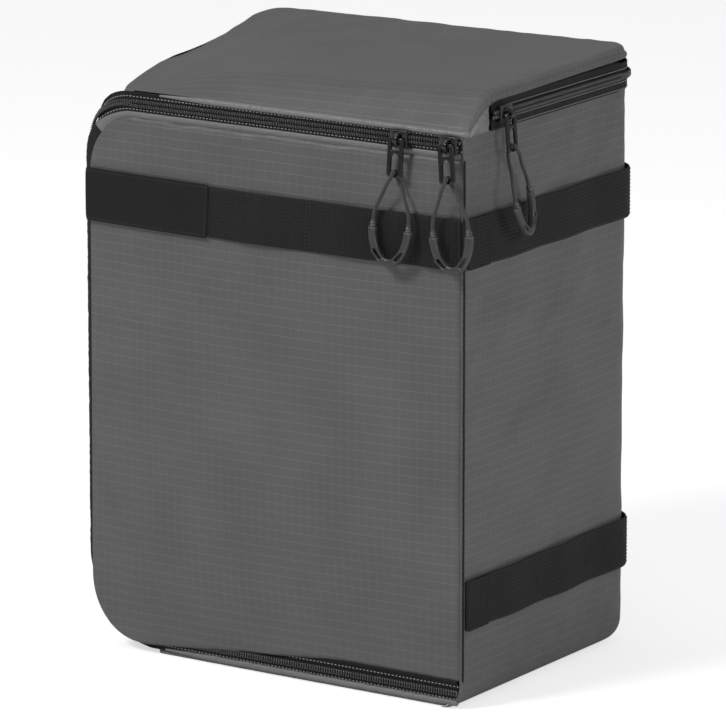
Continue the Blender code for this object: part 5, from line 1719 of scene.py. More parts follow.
class BAGINSERT_OT_edges(bpy.types.Operator):
    """Make the folded edge along the zip, the piping, binding, end fold, gusset and facings"""

    bl_idname = "bag_insert.edges"
    bl_label = "Folded edges and piping"

    def execute(self, context):
        self.welt()
        self.piping()
        self.binding()
        self.end_fold()
        self.gusset()
        self.rim_facings()
        return {"FINISHED"}

    def gusset(self):
        """Make the narrow cloth that joins the door zip's outer tape to the left wall's cloth."""
        low, high = SAMPLE_STEP, RIM_HEIGHT - rim_drop(-HALF_WIDTH, -LEFT_WALL_FRONT)
        run = WALLS_END_RUN - GUSSET_WALL_MARGIN
        border = [wall_surface(run, z) for z in spread(low, high, 600)]
        reach = POST_SLOT / 2 + SHELL_TAPE_WIDTH
        rows = [[], [], [], []]
        for place, across, outward, _ in finer_stations(proud_door_zip(), 0.0020):
            if outward.x > GUSSET_TURN:
                continue
            edge = place - across * reach - outward * GUSSET_SUNK
            wall = min(border, key=lambda point: (point - edge).length).lerp(edge, 0.02)
            under = place - across * (reach - GUSSET_OVERLAP) - outward * BEHIND_TAPE
            middle = (edge + wall) / 2 - outward * GUSSET_HOLLOW
            sewn = wall + RIGHT * 0.0002 + BACK * GUSSET_WALL_MARGIN
            for row, point in zip(rows, (under, edge, middle, sewn)):
                row.append(point)
        weave = [[(point.x + point.y, point.z) for point in row] for row in rows]
        piece = show("left_gusset", Sheet(rows, weave, -1).mesh("left_gusset"), "shell",
                     [grey_ripstop()])
        refine(piece, CLOTH_THICKNESS)

    def rim_facings(self):
        """Make the facings inside the lid zip, from each tape to the board beside it."""
        for name, body, side, start, end, inward in FACINGS:
            rows = [[], [], []]
            for place, across, outward, _ in finer_stations(sunk_lid_zip(), TAPE_STEP):
                edge = place + across * side * (POST_SLOT / 2 + start) - outward * BEHIND_TAPE
                inner = place + across * side * (POST_SLOT / 2 + end) - outward * inward
                for row, point in zip(rows, (edge, (edge + inner) / 2, inner)):
                    row.append(point)
            weave = [[(point.x + point.y, point.z) for point in row] for row in rows]
            piece = show(name, Sheet(rows, weave, -side).mesh(name), body, [black_tape()])
            refine(piece, CLOTH_THICKNESS)

    def welt(self):
        """Make the folded edge of the shell's cloth beside the door zip's outer tape."""
        shift = POST_SLOT / 2 + SHELL_TAPE_WIDTH - WELT_OVERLAP
        route = proud_door_zip()
        for (x, y), outward in zip(WELT_START, ((RIGHT - BACK).normalized(), RIGHT)):
            place = Vector((DOOR_ZIP_END + x, -DOOR_ZIP_FACE - y, DOOR_ZIP_HEIGHT))
            route.insert(0, (place, -UP, outward))
        parts = {"front_welt": [], "left_welt": [], "low_welt": []}
        for place, across, outward, run in finer_stations(route, WELT_STEP):
            beyond = limited((WELT_FADE_START - place.x) / WELT_FADE, 0.0, 1.0)
            size = 1 - (1 - WELT_LEFT_SHARE) * beyond
            ruffle = noise.noise(place / WELT_RUFFLE_PITCH) * WELT_RUFFLE * size
            sideways = shift + ruffle * WELT_RUFFLE_SIDE_SHARE
            centre = place - across * sideways + outward * (WELT_LIFT + ruffle)
            station = (centre, across * size, outward * size, run)
            name = "left_welt"
            if beyond < 1:
                name = "front_welt" if place.z > UPPER_BAND_HEIGHT else "low_welt"
            parts[name].append(station)
            if name == "front_welt":
                parts["left_welt"] = [station]
            if name == "low_welt" and len(parts[name]) == 1:
                parts["left_welt"].append(station)
        for name, stations in parts.items():
            # The welt's left part is drawn in the black tape finish, a painted shade on the grey cloth;
            # the rest is in the pale hem cloth.
            finish, slot = (black_tape, "zip_tape") if name == "left_welt" else (grey_hem, "ripstop")
            piece = show(name, strip(name, stations, round_profile(WELT_RADIUS, 12)), "shell",
                         [finish()])
            refine(piece)

    def piping(self):
        """Make the thin cord piping in the hinge seam."""
        low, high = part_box("hinge_piping")
        middle_x, middle_y = (low[0] + high[0]) / 2, (low[1] + high[1]) / 2
        stations = []
        for z in spread(low[2], high[2], 60):
            wander = noise.noise(Vector((0.0, 0.0, z / PIPING_WANDER_PITCH))) * PIPING_WANDER
            stations.append((Vector((middle_x + wander, middle_y, z)), RIGHT, BACK, z))
        profile = round_profile(PIPING_RADIUS, 8)
        piece = show("hinge_cord", strip("hinge_cord", stations, profile), "shell", [black_tape()],
                     ["hinge_piping"])
        refine(piece)

    def binding(self):
        """Make the binding along the bottom front edge."""
        low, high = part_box("bottom_front_binding")
        middle = (Vector(low) + Vector(high)) / 2
        half_y, half_z = (high[1] - low[1]) / 2, (high[2] - low[2]) / 2
        profile = [(half_y * math.copysign(abs(math.cos(t)) ** 0.5, math.cos(t)),
                    half_z * math.copysign(abs(math.sin(t)) ** 0.5, math.sin(t)))
                   for t in [math.tau * (step + 0.5) / 16 for step in range(16)]]
        stations = []
        for x in spread(low[0], high[0], 80):
            wander = noise.noise(Vector((x / BINDING_WANDER_PITCH, 0.0, 0.0))) * BINDING_WANDER
            size = limited((x - low[0]) / BINDING_TAPER, BINDING_END_SHARE, 1.0)
            place = Vector((x, middle.y + wander, low[2] + half_z * size))
            stations.append((place, BACK * size, UP * size, x))
        piece = show("base_binding", strip("base_binding", stations, profile), "shell",
                     [grey_hem()], ["bottom_front_binding"])
        refine(piece)

    def end_fold(self):
        """Make the folded cloth that covers the start of the lid zip, creased towards the zip."""
        low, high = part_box("lid_zip_end_fold")
        gather_u, gather_v = FOLD_GATHER_SHARES
        columns, rows = spread(0.0, 1.0, 22), spread(0.0, 1.0, 14)
        length = high[1] - low[1]
        grid, weave = [], []
        for v in rows:
            row = []
            for u in columns:
                y = low[1] + length * u
                ramp = 1 - (1 - u * length / LID_RAMP) ** 2
                top = FOLD_HEIGHT - FOLD_BELOW_LID + (LID_EDGE_HEIGHT - FOLD_HEIGHT) * ramp
                bottom = RIM_HEIGHT + FOLD_ABOVE_RIM
                swell = FOLD_SWELL * math.sin(math.pi * v) ** FOLD_SWELL_POWER * (1 - u ** 4)
                angle = math.atan2((v - gather_v) * (top - bottom), (gather_u - u) * length)
                fold = FOLD_CREASE * math.sin(FOLD_CREASES * angle) * (1 - u * FOLD_FADE_SHARE)
                row.append(Vector((HALF_WIDTH + FOLD_LIFT + swell + fold * math.sin(math.pi * v),
                                   y, bottom + (top - bottom) * v)))
            grid.append(row)
            weave.append([(point.y, point.z) for point in row])
        sheet = Sheet(grid, weave, 1)
        sheet.hem(border_cells(sheet), -RIGHT, END_FOLD_HEM, closed=True)
        piece = show("zip_end_fold", sheet.mesh("zip_end_fold"), "shell", [grey_hem()],
                     ["lid_zip_end_fold"])
        refine(piece, CLOTH_THICKNESS)


# Webbing

RIB_HEIGHT = 0.00045
LONG_RIBS = 13
LONG_RIB_HEIGHT = 0.00050
WALL_BAND_STEP = 0.0025
DOUBLED_LIFT_SHARE = 0.9
PATCH_LIFT = 0.0002
BAND_LIFT = 0.0006


def loop_bulge(run, tacks):
    """Return how far a band stands off between two stitched tacks."""
    for start, end in zip(tacks, tacks[1:]):
        if start < run < end:
            return LOOP_BULGE * math.sin(math.pi * (run - start) / (end - start)) ** 2
    return 0.0


def door_tacks():
    """Return the x of each stitched tack on the door's band."""
    return sorted([DOOR_LAST_TACK - DOOR_TACK_PITCH * step for step in range(3)] + [DOOR_SIDE])


def wall_tacks():
    """Return the run of each stitched tack on the walls' bands."""
    tacks = [DOUBLED_END + SIDE_TACK_PITCH * step for step in range(3)]
    tacks += [BACK_START + BACK_RUN / 4 * step for step in range(5)]
    return tacks + [PLAN_RUN - DOUBLED_END - SIDE_TACK_PITCH * step for step in (2, 1, 0)]


def rib(run, pitch, height):
    """Return how far a rib across a band stands up at a run."""
    return height * (0.5 - 0.5 * math.cos(math.tau * run / pitch))


def door_band_station(x, lift):
    """Return a station of the door's band at a height above the cloth."""
    place, up, outward = door_frame(x, UPPER_BAND_HEIGHT)
    return place + outward * (lift + loop_bulge(x, door_tacks())), up, outward, x


def wall_band_station(run, height, lift):
    """Return a station of a wall's band at a height above the cloth."""
    place, up, outward = wall_frame(run, height)
    return place + outward * (lift + loop_bulge(run, wall_tacks())), up, outward, run


class BAGINSERT_OT_webbing(bpy.types.Operator):
    """Sew the black bands on the door and round the walls, with the bare patch"""

    bl_idname = "bag_insert.webbing"
    bl_label = "Webbing bands and patch"

    def execute(self, context):
        half = WEBBING_WIDTH / 2
        left = door_left_edge(UPPER_BAND_HEIGHT) + GAP
        pitch = sizes().cross_rib_pitch
        stations = []
        for x in spread(left, DOOR_SIDE - GAP, round((DOOR_SIDE - left) / (pitch / 4))):
            stations.append(door_band_station(x, BAND_LIFT + rib(x, pitch, RIB_HEIGHT)))
        show("door_band", strip("door_band", stations, rounded_strip(half, WEBBING)), "door",
             [black_webbing()], ["door_webbing"])
        lift = BAND_LIFT + WEBBING + PATCH_LIFT
        stations = [door_band_station(x, lift) for x in spread(left, door_tacks()[0], 60)]
        patch = show("bare_patch", strip("bare_patch", stations,
                                         rounded_strip(half + PATCH_MARGIN, PATCH)),
                     "door", [smooth_patch()], ["label_patch"])
        refine(patch)
        for name, height in (("upper", UPPER_BAND_HEIGHT), ("lower", LOWER_BAND_HEIGHT)):
            start, end = WALLS_FRONT_RUN + GAP, WALLS_END_RUN - GAP
            stations = [wall_band_station(run, height, BAND_LIFT)
                        for run in spread(start, end, round((end - start) / WALL_BAND_STEP))]
            profile = rounded_strip(half, WEBBING, ribs=LONG_RIBS, rib_height=LONG_RIB_HEIGHT)
            show(f"{name}_band", strip(f"{name}_band", stations, profile), "shell",
                 [black_webbing()], [f"{name}_webbing"])
            stations = []
            for run in spread(start, DOUBLED_END, round((DOUBLED_END - start) / (pitch / 4))):
                raised = BAND_LIFT + WEBBING * DOUBLED_LIFT_SHARE + rib(run, pitch, RIB_HEIGHT)
                stations.append(wall_band_station(run, height, raised))
            show(f"{name}_band_end", strip(f"{name}_band_end", stations,
                                           rounded_strip(half, WEBBING)),
                 "shell", [black_webbing()])
        return {"FINISHED"}


# Zips

TAPE_STEP = 0.003
COIL_STEP = 0.0015
COIL_CENTRE = 0.0017
LID_COIL_SHARE = 1.35
TOOTH_REACH = 0.0029
TOOTH_OVERLAP = 0.0008
TOOTH_WIDTH_SHARE = 0.58
TOOTH_RISE = 0.0022
TOOTH_SLANT = 0.28
CORE_PLACE = 0.0016
CORE_HALF = 0.0009
CORE_THICKNESS = 0.0008
SLOT_CLOSING = 0.00050
LEFT_RUN_END = 0.0975
RIGHT_RUN_END = 0.069
RUN_FADE = 0.003


def closing(place):
    """Return 1 where a zip has no slider's run and its halves close up, and 0 along the runs."""
    if place.z > RIM_HEIGHT - 0.002:
        beyond = place.y - RIGHT_RUN_END if place.x > HALF_WIDTH - 0.01 else RUN_FADE
    else:
        beyond = -LEFT_RUN_END - place.x if place.z > DOOR_ZIP_HEIGHT - 0.001 else RUN_FADE
    return limited(beyond / RUN_FADE, 0.0, 1.0)


def drawn_together(stations, side):
    """Return the stations of one half of a zip, drawn to the middle beyond the sliders' runs."""
    return [(place - across * side * SLOT_CLOSING * closing(place), across, outward, run)
            for place, across, outward, run in stations]


class BAGINSERT_OT_zip_tapes(bpy.types.Operator):
    """Make the woven tapes of both zips"""

    bl_idname = "bag_insert.zip_tapes"
    bl_label = "Zip tapes"

    def execute(self, context):
        door, lid = proud_door_zip(), sunk_lid_zip()
        for name, stations, side, body, width in (
                ("door_zip_tape_shell", door, -1, "shell", SHELL_TAPE_WIDTH),
                ("door_zip_tape_door", door, 1, "door", DOOR_TAPE_WIDTH),
                ("lid_zip_tape_shell", lid, -1, "shell", RIM_TAPE_WIDTH),
                ("lid_zip_tape_lid", lid, 1, "lid", LID_TAPE_WIDTH)):
            middle = side * (POST_SLOT + width) / 2
            profile = [(middle + a, n - TAPE / 2) for a, n in rounded_strip(width / 2, TAPE)]
            finer = drawn_together(finer_stations(stations, TAPE_STEP), side)
            mesh = strip(name.replace("tape", "woven"), finer, profile)
            show(mesh.name, mesh, body, [black_tape()], [name])
        return {"FINISHED"}


def repeat_tree():
    """Return the Geometry Nodes tree that repeats a small rounded body along chains of edges."""
    found = bpy.data.node_groups.get("Repeat along seams")
    if found:
        return found
    tree = bpy.data.node_groups.new("Repeat along seams", "GeometryNodeTree")
    tree.interface.new_socket("Geometry", in_out="INPUT", socket_type="NodeSocketGeometry")
    for label, value in (("Pitch", 0.0015), ("Across", 0.003), ("Along", 0.0008), ("Rise", 0.001),
                         ("Slant", 0.0)):
        socket = tree.interface.new_socket(label, in_out="INPUT", socket_type="NodeSocketFloat")
        socket.default_value = value
    tree.interface.new_socket("Finish", in_out="INPUT", socket_type="NodeSocketMaterial")
    tree.interface.new_socket("Geometry", in_out="OUTPUT", socket_type="NodeSocketGeometry")
    nodes, links = tree.nodes, tree.links
    given, result = nodes.new("NodeGroupInput"), nodes.new("NodeGroupOutput")
    curve = nodes.new("GeometryNodeMeshToCurve")
    links.new(given.outputs["Geometry"], curve.inputs["Mesh"])
    spaced = nodes.new("GeometryNodeResampleCurve")
    spaced.mode = "LENGTH"
    links.new(curve.outputs["Curve"], spaced.inputs["Curve"])
    links.new(given.outputs["Pitch"], spaced.inputs["Length"])
    directions = []
    for label in ("across", "outward"):
        node = nodes.new("GeometryNodeInputNamedAttribute")
        node.data_type = "FLOAT_VECTOR"
        node.inputs["Name"].default_value = label
        directions.append(node.outputs["Attribute"])
    turned = nodes.new("FunctionNodeAxesToRotation")
    turned.primary_axis = "Z"
    turned.secondary_axis = "X"
    links.new(directions[1], turned.inputs["Primary Axis"])
    links.new(directions[0], turned.inputs["Secondary Axis"])
    slant = nodes.new("ShaderNodeCombineXYZ")
    links.new(given.outputs["Slant"], slant.inputs["Z"])
    euler = nodes.new("FunctionNodeEulerToRotation")
    links.new(slant.outputs[0], euler.inputs[0])
    lean = nodes.new("FunctionNodeRotateRotation")
    lean.rotation_space = "LOCAL"
    links.new(turned.outputs[0], lean.inputs["Rotation"])
    links.new(euler.outputs[0], lean.inputs["Rotate By"])
    body = nodes.new("GeometryNodeMeshUVSphere")
    body.inputs["Segments"].default_value = 8
    body.inputs["Rings"].default_value = 5
    body.inputs["Radius"].default_value = 0.5
    scale = nodes.new("ShaderNodeCombineXYZ")
    for label, axis in (("Across", "X"), ("Along", "Y"), ("Rise", "Z")):
        links.new(given.outputs[label], scale.inputs[axis])
    placed = nodes.new("GeometryNodeInstanceOnPoints")
    links.new(spaced.outputs["Curve"], placed.inputs["Points"])
    links.new(body.outputs["Mesh"], placed.inputs["Instance"])
    links.new(lean.outputs[0], placed.inputs["Rotation"])
    links.new(scale.outputs[0], placed.inputs["Scale"])
    real = nodes.new("GeometryNodeRealizeInstances")
    links.new(placed.outputs["Instances"], real.inputs["Geometry"])
    smooth = nodes.new("GeometryNodeSetShadeSmooth")
    links.new(real.outputs["Geometry"], smooth.inputs["Geometry"])
    finish = nodes.new("GeometryNodeSetMaterial")
    links.new(smooth.outputs["Geometry"], finish.inputs["Geometry"])
    links.new(given.outputs["Finish"], finish.inputs["Material"])
    links.new(finish.outputs["Geometry"], result.inputs["Geometry"])
    return tree


def repeated(name, chains, pitch, across, along, rise, slant, finish):
    """Return a plain mesh of small bodies repeated along chains of stations."""
    holder = bpy.data.objects.new(name, joined_paths(name, chains))
    bpy.context.scene.collection.objects.link(holder)
    maker = holder.modifiers.new("repeat", "NODES")
    maker.node_group = repeat_tree()
    sockets = {item.name: item.identifier for item in maker.node_group.interface.items_tree
               if item.in_out == "INPUT"}
    for label, value in (("Pitch", pitch), ("Across", across), ("Along", along), ("Rise", rise),
                         ("Slant", slant), ("Finish", finish)):
        maker[sockets[label]] = value
    mesh = plain_copy(holder)
    bpy.data.objects.remove(holder, do_unlink=True)
    mesh.name = name
    if not mesh.uv_layers:
        mesh.uv_layers.new(name=WEAVE)
    return mesh


def joined_paths(name, chains):
    """Return one mesh of several chains of edges."""
    places, edges, across, outward = [], [], [], []
    for chain in chains:
        start = len(places)
        places += [tuple(station[0]) for station in chain]
        edges += [(start + index, start + index + 1) for index in range(len(chain) - 1)]
        across += [value for station in chain for value in station[1]]
        outward += [value for station in chain for value in station[2]]
    mesh = bpy.data.meshes.new(name + "_paths")
    mesh.from_pydata(places, edges, [])
    for label, values in (("across", across), ("outward", outward)):
        layer = mesh.attributes.new(label, "FLOAT_VECTOR", "POINT")
        layer.data.foreach_set("vector", values)
    return mesh


def shifted(stations, sideways, lift, trim=0.0):
    """Return stations moved across and outward, with their ends trimmed."""
    last = stations[-1][3]
    return [(place + across * sideways + outward * lift, across, outward, run)
            for place, across, outward, run in stations if trim <= run <= last - trim]


def joined_meshes(name, meshes):
    """Return one mesh of several, keeping their materials."""
    shape = bmesh.new()
    finishes = []
    for mesh in meshes:
        start = len(finishes)
        finishes += list(mesh.materials)
        before = len(shape.faces)
        shape.from_mesh(mesh)
        shape.faces.ensure_lookup_table()
        for face in shape.faces[before:]:
            face.material_index += start
    joined = bpy.data.meshes.new(name)
    shape.to_mesh(joined)
    shape.free()
    for finish in finishes:
        joined.materials.append(finish)
    return joined


class BAGINSERT_OT_zip_coils(bpy.types.Operator):
    """Wind the nylon coils of both zips, tooth by tooth, on each half"""

    bl_idname = "bag_insert.zip_coils"
    bl_label = "Zip coils"

    def execute(self, context):
        door = finer_stations(proud_door_zip(), COIL_STEP)
        lid = finer_stations(sunk_lid_zip(), COIL_STEP)
        made = {"shell": [], "door": [], "lid": []}
        for stations, cover, coarser in ((door, "door", 1.0), (lid, "lid", LID_COIL_SHARE)):
            pitch = sizes().coil_pitch * coarser
            for side, body in ((-1, "shell"), (1, cover)):
                half = drawn_together(stations, side)
                sideways = side * (POST_SLOT / 2 + TOOTH_REACH / 2 - TOOTH_OVERLAP)
                rows = shifted(half, sideways, COIL_CENTRE)
                trim = pitch / 4 * (1 + side)
                rows = [station for station in rows if station[3] >= trim]
                made[body].append(repeated(f"coil_{cover}_{body}", [rows], pitch, TOOTH_REACH,
                                           pitch * TOOTH_WIDTH_SHARE, TOOTH_RISE,
                                           side * TOOTH_SLANT, coil_nylon()))
                core = strip(f"core_{cover}_{body}", shifted(half, side * CORE_PLACE, CORE_HALF),
                             rounded_strip(CORE_HALF, CORE_THICKNESS))
                core.materials.append(black_tape())
                made[body].append(core)
        nodes = {"shell": ["door_zip_coil_shell", "lid_zip_coil_shell"],
                 "door": ["door_zip_coil_door"], "lid": ["lid_zip_coil_lid"]}
        for body, meshes in made.items():
            mesh = joined_meshes(f"{body}_coils", meshes)
            show(f"{body}_coils", mesh, body, [], nodes[body])
        return {"FINISHED"}


# Stitches

LAST_TACK_MARGIN = 0.003
PATCH_STITCH_LIFT = 0.0003
PATCH_STITCH_LEFT = 0.003
PATCH_STITCH_RIGHT = 0.0018
PATCH_STITCH_EDGE = 0.0008
STITCH_STEP = 0.004
STITCH_LIFT = 0.0001
STITCH_MARGIN = 0.0013
STITCH_WIDTH = 0.00052
STITCH_LENGTH_SHARE = 0.62
STITCH_RISE = 0.00045
BESIDE_COIL = 0.0038
LID_STITCH_TRIM = 0.014
TACK_MARGIN = 0.0018
TACK_LIFT = 0.00035
TACK_HALF_GAP = 0.0011
TACK_SETBACK = 0.0015

# A tack's stitch: pitch, width, length, rise and slant
TACK_STITCH = (0.0022, 0.00055, 0.0017, 0.0004, 0.35)


def cross_line(station, low, high, lift):
    """Return a chain of stations across a band, from one edge to the other."""
    place, up, outward, _ = station
    along = up.cross(outward)
    return [(place + up * shift + outward * lift, along, outward, shift)
            for shift in spread(low, high, 8)]


class BAGINSERT_OT_stitches(bpy.types.Operator):
    """Sew the threads along the tapes and hems, and the tacks of the bands and the patch"""

    bl_idname = "bag_insert.stitches"
    bl_label = "Stitches"

    def execute(self, context):
        door = finer_stations(proud_door_zip(), STITCH_STEP)
        lid = finer_stations(sunk_lid_zip(), STITCH_STEP)
        above = TAPE / 2 + STITCH_LIFT
        hem = POST_SLOT / 2 + RIM_TAPE_WIDTH - STITCH_MARGIN
        light = {
            "shell": [shifted(door, -BESIDE_COIL, above),
                      shifted(lid, -BESIDE_COIL, above, LID_STITCH_TRIM),
                      shifted(lid, -hem, above, LID_STITCH_TRIM)],
            "door": [shifted(door, BESIDE_COIL, above)],
            "lid": [shifted(lid, BESIDE_COIL, above, LID_STITCH_TRIM)],
        }
        half = WEBBING_WIDTH / 2 - TACK_MARGIN
        lift = WEBBING + TACK_LIFT
        dark = {"shell": [], "door": []}
        for x in door_tacks()[1:]:
            for side in (-TACK_HALF_GAP, TACK_HALF_GAP):
                station = door_band_station(min(x + side, DOOR_SIDE - LAST_TACK_MARGIN), BAND_LIFT)
                dark["door"].append(cross_line(station, -half, half, lift))
        for height in (UPPER_BAND_HEIGHT, LOWER_BAND_HEIGHT):
            for run in wall_tacks():
                doubled = WEBBING if run <= DOUBLED_END else 0.0
                for side in (-TACK_HALF_GAP, TACK_HALF_GAP):
                    station = wall_band_station(run + side - TACK_SETBACK, height, BAND_LIFT)
                    dark["shell"].append(cross_line(station, -half, half, lift + doubled))
        dark["door"] += self.patch_border()
        for body, chains in light.items():
            pitch = sizes().stitch_pitch
            length = pitch * STITCH_LENGTH_SHARE
            mesh = repeated(f"{body}_seams", chains, pitch, STITCH_WIDTH, length, STITCH_RISE, 0.0,
                            light_thread())
            show(f"{body}_seams", mesh, body, [])
        for body, chains in dark.items():
            mesh = repeated(f"{body}_tacks", chains, *TACK_STITCH, dark_thread())
            show(f"{body}_tacks", mesh, body, [])
        return {"FINISHED"}

    def patch_border(self):
        """Return the chains of stitches near the patch's edges."""
        lift = BAND_LIFT + WEBBING + PATCH + PATCH_STITCH_LIFT
        left = door_left_edge(UPPER_BAND_HEIGHT) + PATCH_STITCH_LEFT
        right = door_tacks()[0] - PATCH_STITCH_RIGHT
        high = WEBBING_WIDTH / 2 - PATCH_STITCH_EDGE
        chains = []
        for shift in (-high, high):
            chain = []
            for x in spread(left, right, 30):
                place, up, outward, run = door_band_station(x, lift)
                chain.append((place + up * shift, up, outward, run))
            chains.append(chain)
        chains.append(cross_line(door_band_station(right, lift), -high, high, 0.0))
        return chains


# Sliders and pulls

TAB_WIDTH = 0.0105
TAB_LENGTH = 0.0230
TAB_THICKNESS = 0.0018
TAB_BAR = 0.0020
TAB_EYE = 0.0052
TAB_RAIL = 0.0026
CORD_DROP = 0.032
GRIP_WIDTH = 0.029
GRIP_HEIGHT = 0.022
GRIP_BAND = 0.0048
GRIP_THICKNESS = 0.0038
GRIP_SLOT_LENGTH = 0.0070
GRIP_SLOT_WIDTH = 0.0016
GRIP_FLAT_SHARE = 0.14
GRIP_SLOT_TURN = math.radians(52.0)
GRIP_SLOT_LEAN = math.radians(44.0)
PULL_LEAN = math.radians(5.0)
TAB_TOP = TAB_BAR / 2
TAB_WINDOW_LOW = -TAB_BAR / 2 - TAB_EYE
CORD_SLOT_HIGH = TAB_WINDOW_LOW - TAB_BAR
CORD_SLOT_LOW = TAB_TOP - TAB_LENGTH + TAB_BAR
CORD_LEG_SHARES = [(1.0, 1.0, 0.0), (0.96, 0.72, 0.0), (0.56, 0.40, 0.35), (0.20, 0.16, 1.0)]
CORD_BEND_SHARES = [(0.0, 1.0), (0.8, 0.8), (1.15, 0.0), (0.8, -0.8), (0.0, -1.0)]
PULLS = {
    "door_pull_left": ("door_pull_left_swing", RIGHT, -BACK, 0.0, math.radians(-1.5), 0.0),
    "door_pull_right": ("door_pull_right_swing", RIGHT, -BACK, math.radians(7.0), math.radians(1.0),
                        0.0),
    "lid_pull": ("lid_pull_swing", BACK, RIGHT, 0.0, math.radians(14.0), math.radians(12.0)),
}


def softened(node, width, segments=2):
    """Return a merged copy of a CAD node's mesh with its edges rounded."""
    shape = bmesh.new()
    shape.from_mesh(frame["nodes"][node].data)
    bmesh.ops.remove_doubles(shape, verts=shape.verts, dist=0.00001)
    bmesh.ops.dissolve_limit(shape, angle_limit=math.radians(2.0), verts=shape.verts,
                             edges=shape.edges)
    edges = [edge for edge in shape.edges
             if edge.is_manifold and edge.calc_face_angle() > math.radians(25.0)]
    bmesh.ops.bevel(shape, geom=edges, offset=width, segments=segments, profile=0.5,
                    affect="EDGES", clamp_overlap=True)
    bmesh.ops.recalc_face_normals(shape, faces=shape.faces)
    mesh = bpy.data.meshes.new(node + "_softened")
    shape.to_mesh(mesh)
    shape.free()
    mesh.shade_smooth()
    mesh.set_sharp_from_angle(angle=SMOOTH_ANGLE)
    return mesh


def flat_piece(outlines, thickness, place, bevel, smoothness):
    """Return the mesh of a flat piece with rounded edges, its first outline cut by the rest."""
    curve = bpy.data.curves.new("outline", "CURVE")
    curve.dimensions = "2D"
    curve.fill_mode = "BOTH"
    curve.extrude = thickness / 2 - bevel
    curve.bevel_depth = bevel
    curve.bevel_resolution = smoothness
    curve.offset = -bevel
    for outline in outlines:
        spline = curve.splines.new("POLY")
        spline.points.add(len(outline) - 1)
        for point, (x, y) in zip(spline.points, outline):
            point.co = (x, y, 0.0, 1.0)
        spline.use_cyclic_u = True
    drawn = bpy.data.objects.new("outline", curve)
    bpy.context.scene.collection.objects.link(drawn)
    mesh = plain_copy(drawn)
    bpy.data.objects.remove(drawn, do_unlink=True)
    shape = bmesh.new()
    shape.from_mesh(mesh)
    bmesh.ops.remove_doubles(shape, verts=shape.verts, dist=0.00001)
    bmesh.ops.transform(shape, matrix=place, verts=shape.verts)
    bmesh.ops.recalc_face_normals(shape, faces=shape.faces)
    shape.to_mesh(mesh)
    shape.free()
    mesh.materials.clear()
    mesh.shade_smooth()
    mesh.set_sharp_from_angle(angle=SMOOTH_ANGLE)
    return mesh


def rounded_slot(width, height, centre, steps=8):
    """Return a slot's outline with half round ends, upright if it is taller than wide."""
    radius = min(width, height) / 2
    reach = max(width, height) / 2 - radius
    points = []
    for end in (1, -1):
        for step in range(steps + 1):
            turn = math.pi * step / steps + (0 if end == 1 else math.pi)
            x, y = radius * math.cos(turn), radius * math.sin(turn) + end * reach
            if width > height:
                x, y = y, -x
            points.append((centre[0] + x, centre[1] + y))
    return points


def rounded_box(width, low, high, radius, steps=5):
    """Return a rectangle's outline with round corners, centred on the upright axis."""
    points = []
    corners = ((width / 2 - radius, high - radius, 0), (radius - width / 2, high - radius, 1),
               (radius - width / 2, low + radius, 2), (width / 2 - radius, low + radius, 3))
    for x, y, quarter in corners:
        for step in range(steps + 1):
            turn = math.pi / 2 * (quarter + step / steps)
            points.append((x + radius * math.cos(turn), y + radius * math.sin(turn)))
    return points


def grip_depth_share(sine):
    """Return how deep the grip's curve lies, flatter at its bottom than an ellipse."""
    return sine * (1 - GRIP_FLAT_SHARE + GRIP_FLAT_SHARE * abs(sine))


def grip_outline(steps=36):
    """Return the outline of the U shaped grip, with its legs' tops at height zero."""
    half = GRIP_WIDTH / 2
    inner = half - GRIP_BAND
    outer_points, inner_points = [], []
    for step in range(steps + 1):
        turn = math.pi + math.pi * step / steps
        x, y = math.cos(turn), grip_depth_share(math.sin(turn))
        outer_points.append((half * x, GRIP_HEIGHT * y))
        inner_points.append((inner * x, (GRIP_HEIGHT - GRIP_BAND) * y))
    return outer_points + inner_points[::-1]


def grip_slots():
    """Return the outlines of the two slots through the grip's lower corners."""
    slots = []
    for side in (-1, 1):
        middle_x = (GRIP_WIDTH / 2 - GRIP_BAND / 2) * math.cos(GRIP_SLOT_TURN)
        middle_y = (GRIP_BAND / 2 - GRIP_HEIGHT) * grip_depth_share(math.sin(GRIP_SLOT_TURN))
        lean = GRIP_SLOT_LEAN
        points = []
        for x, y in rounded_slot(GRIP_SLOT_LENGTH, GRIP_SLOT_WIDTH, (0.0, 0.0), 4):
            points.append((side * (middle_x + x * math.cos(lean) - y * math.sin(lean)),
                           middle_y + x * math.sin(lean) + y * math.cos(lean)))
        slots.append(points)
    return slots


def smooth_route(route, steps):
    """Return points along a smooth curve through a route's own points."""
    padded = [route[0] * 2 - route[1], *route, route[-1] * 2 - route[-2]]
    points = []
    for before, start, end, after in zip(padded, padded[1:], padded[2:], padded[3:]):
        for step in range(steps):
            share = step / steps
            pull = (start * 2 + (end - before) * share
                    + (before * 2 - start * 5 + end * 4 - after) * share ** 2
                    + (start * 3 - before - end * 3 + after) * share ** 3)
            points.append(pull / 2)
    return points + [route[-1]]


def collar(place, along, start, end, radius):
    """Return a turned collar round a leg of the grip, with ribs round it."""
    side = along.orthogonal().normalized()
    other = along.cross(side)
    stations = []
    for share in spread(0.0, 1.0, 12):
        round_off = math.sin(math.pi * limited(share, 0.06, 0.94)) ** 0.25
        ring = 1 + 0.10 * math.cos(math.tau * 3 * share)
        size = round_off * ring
        stations.append((place + along * (start + (end - start) * share), side * size, other * size,
                         share))
    return strip("collar", stations, round_profile(radius, 16))


class BAGINSERT_OT_sliders(bpy.types.Operator):
    """Cast the three zip sliders, their edges rounded"""

    bl_idname = "bag_insert.sliders"
    bl_label = "Zip sliders"

    def execute(self, context):
        for node in ("door_slider_left", "door_slider_right", "lid_slider"):
            show(node + "_body", softened(node, 0.00028, 3), node, [painted_zinc()],
                 [node])
        return {"FINISHED"}


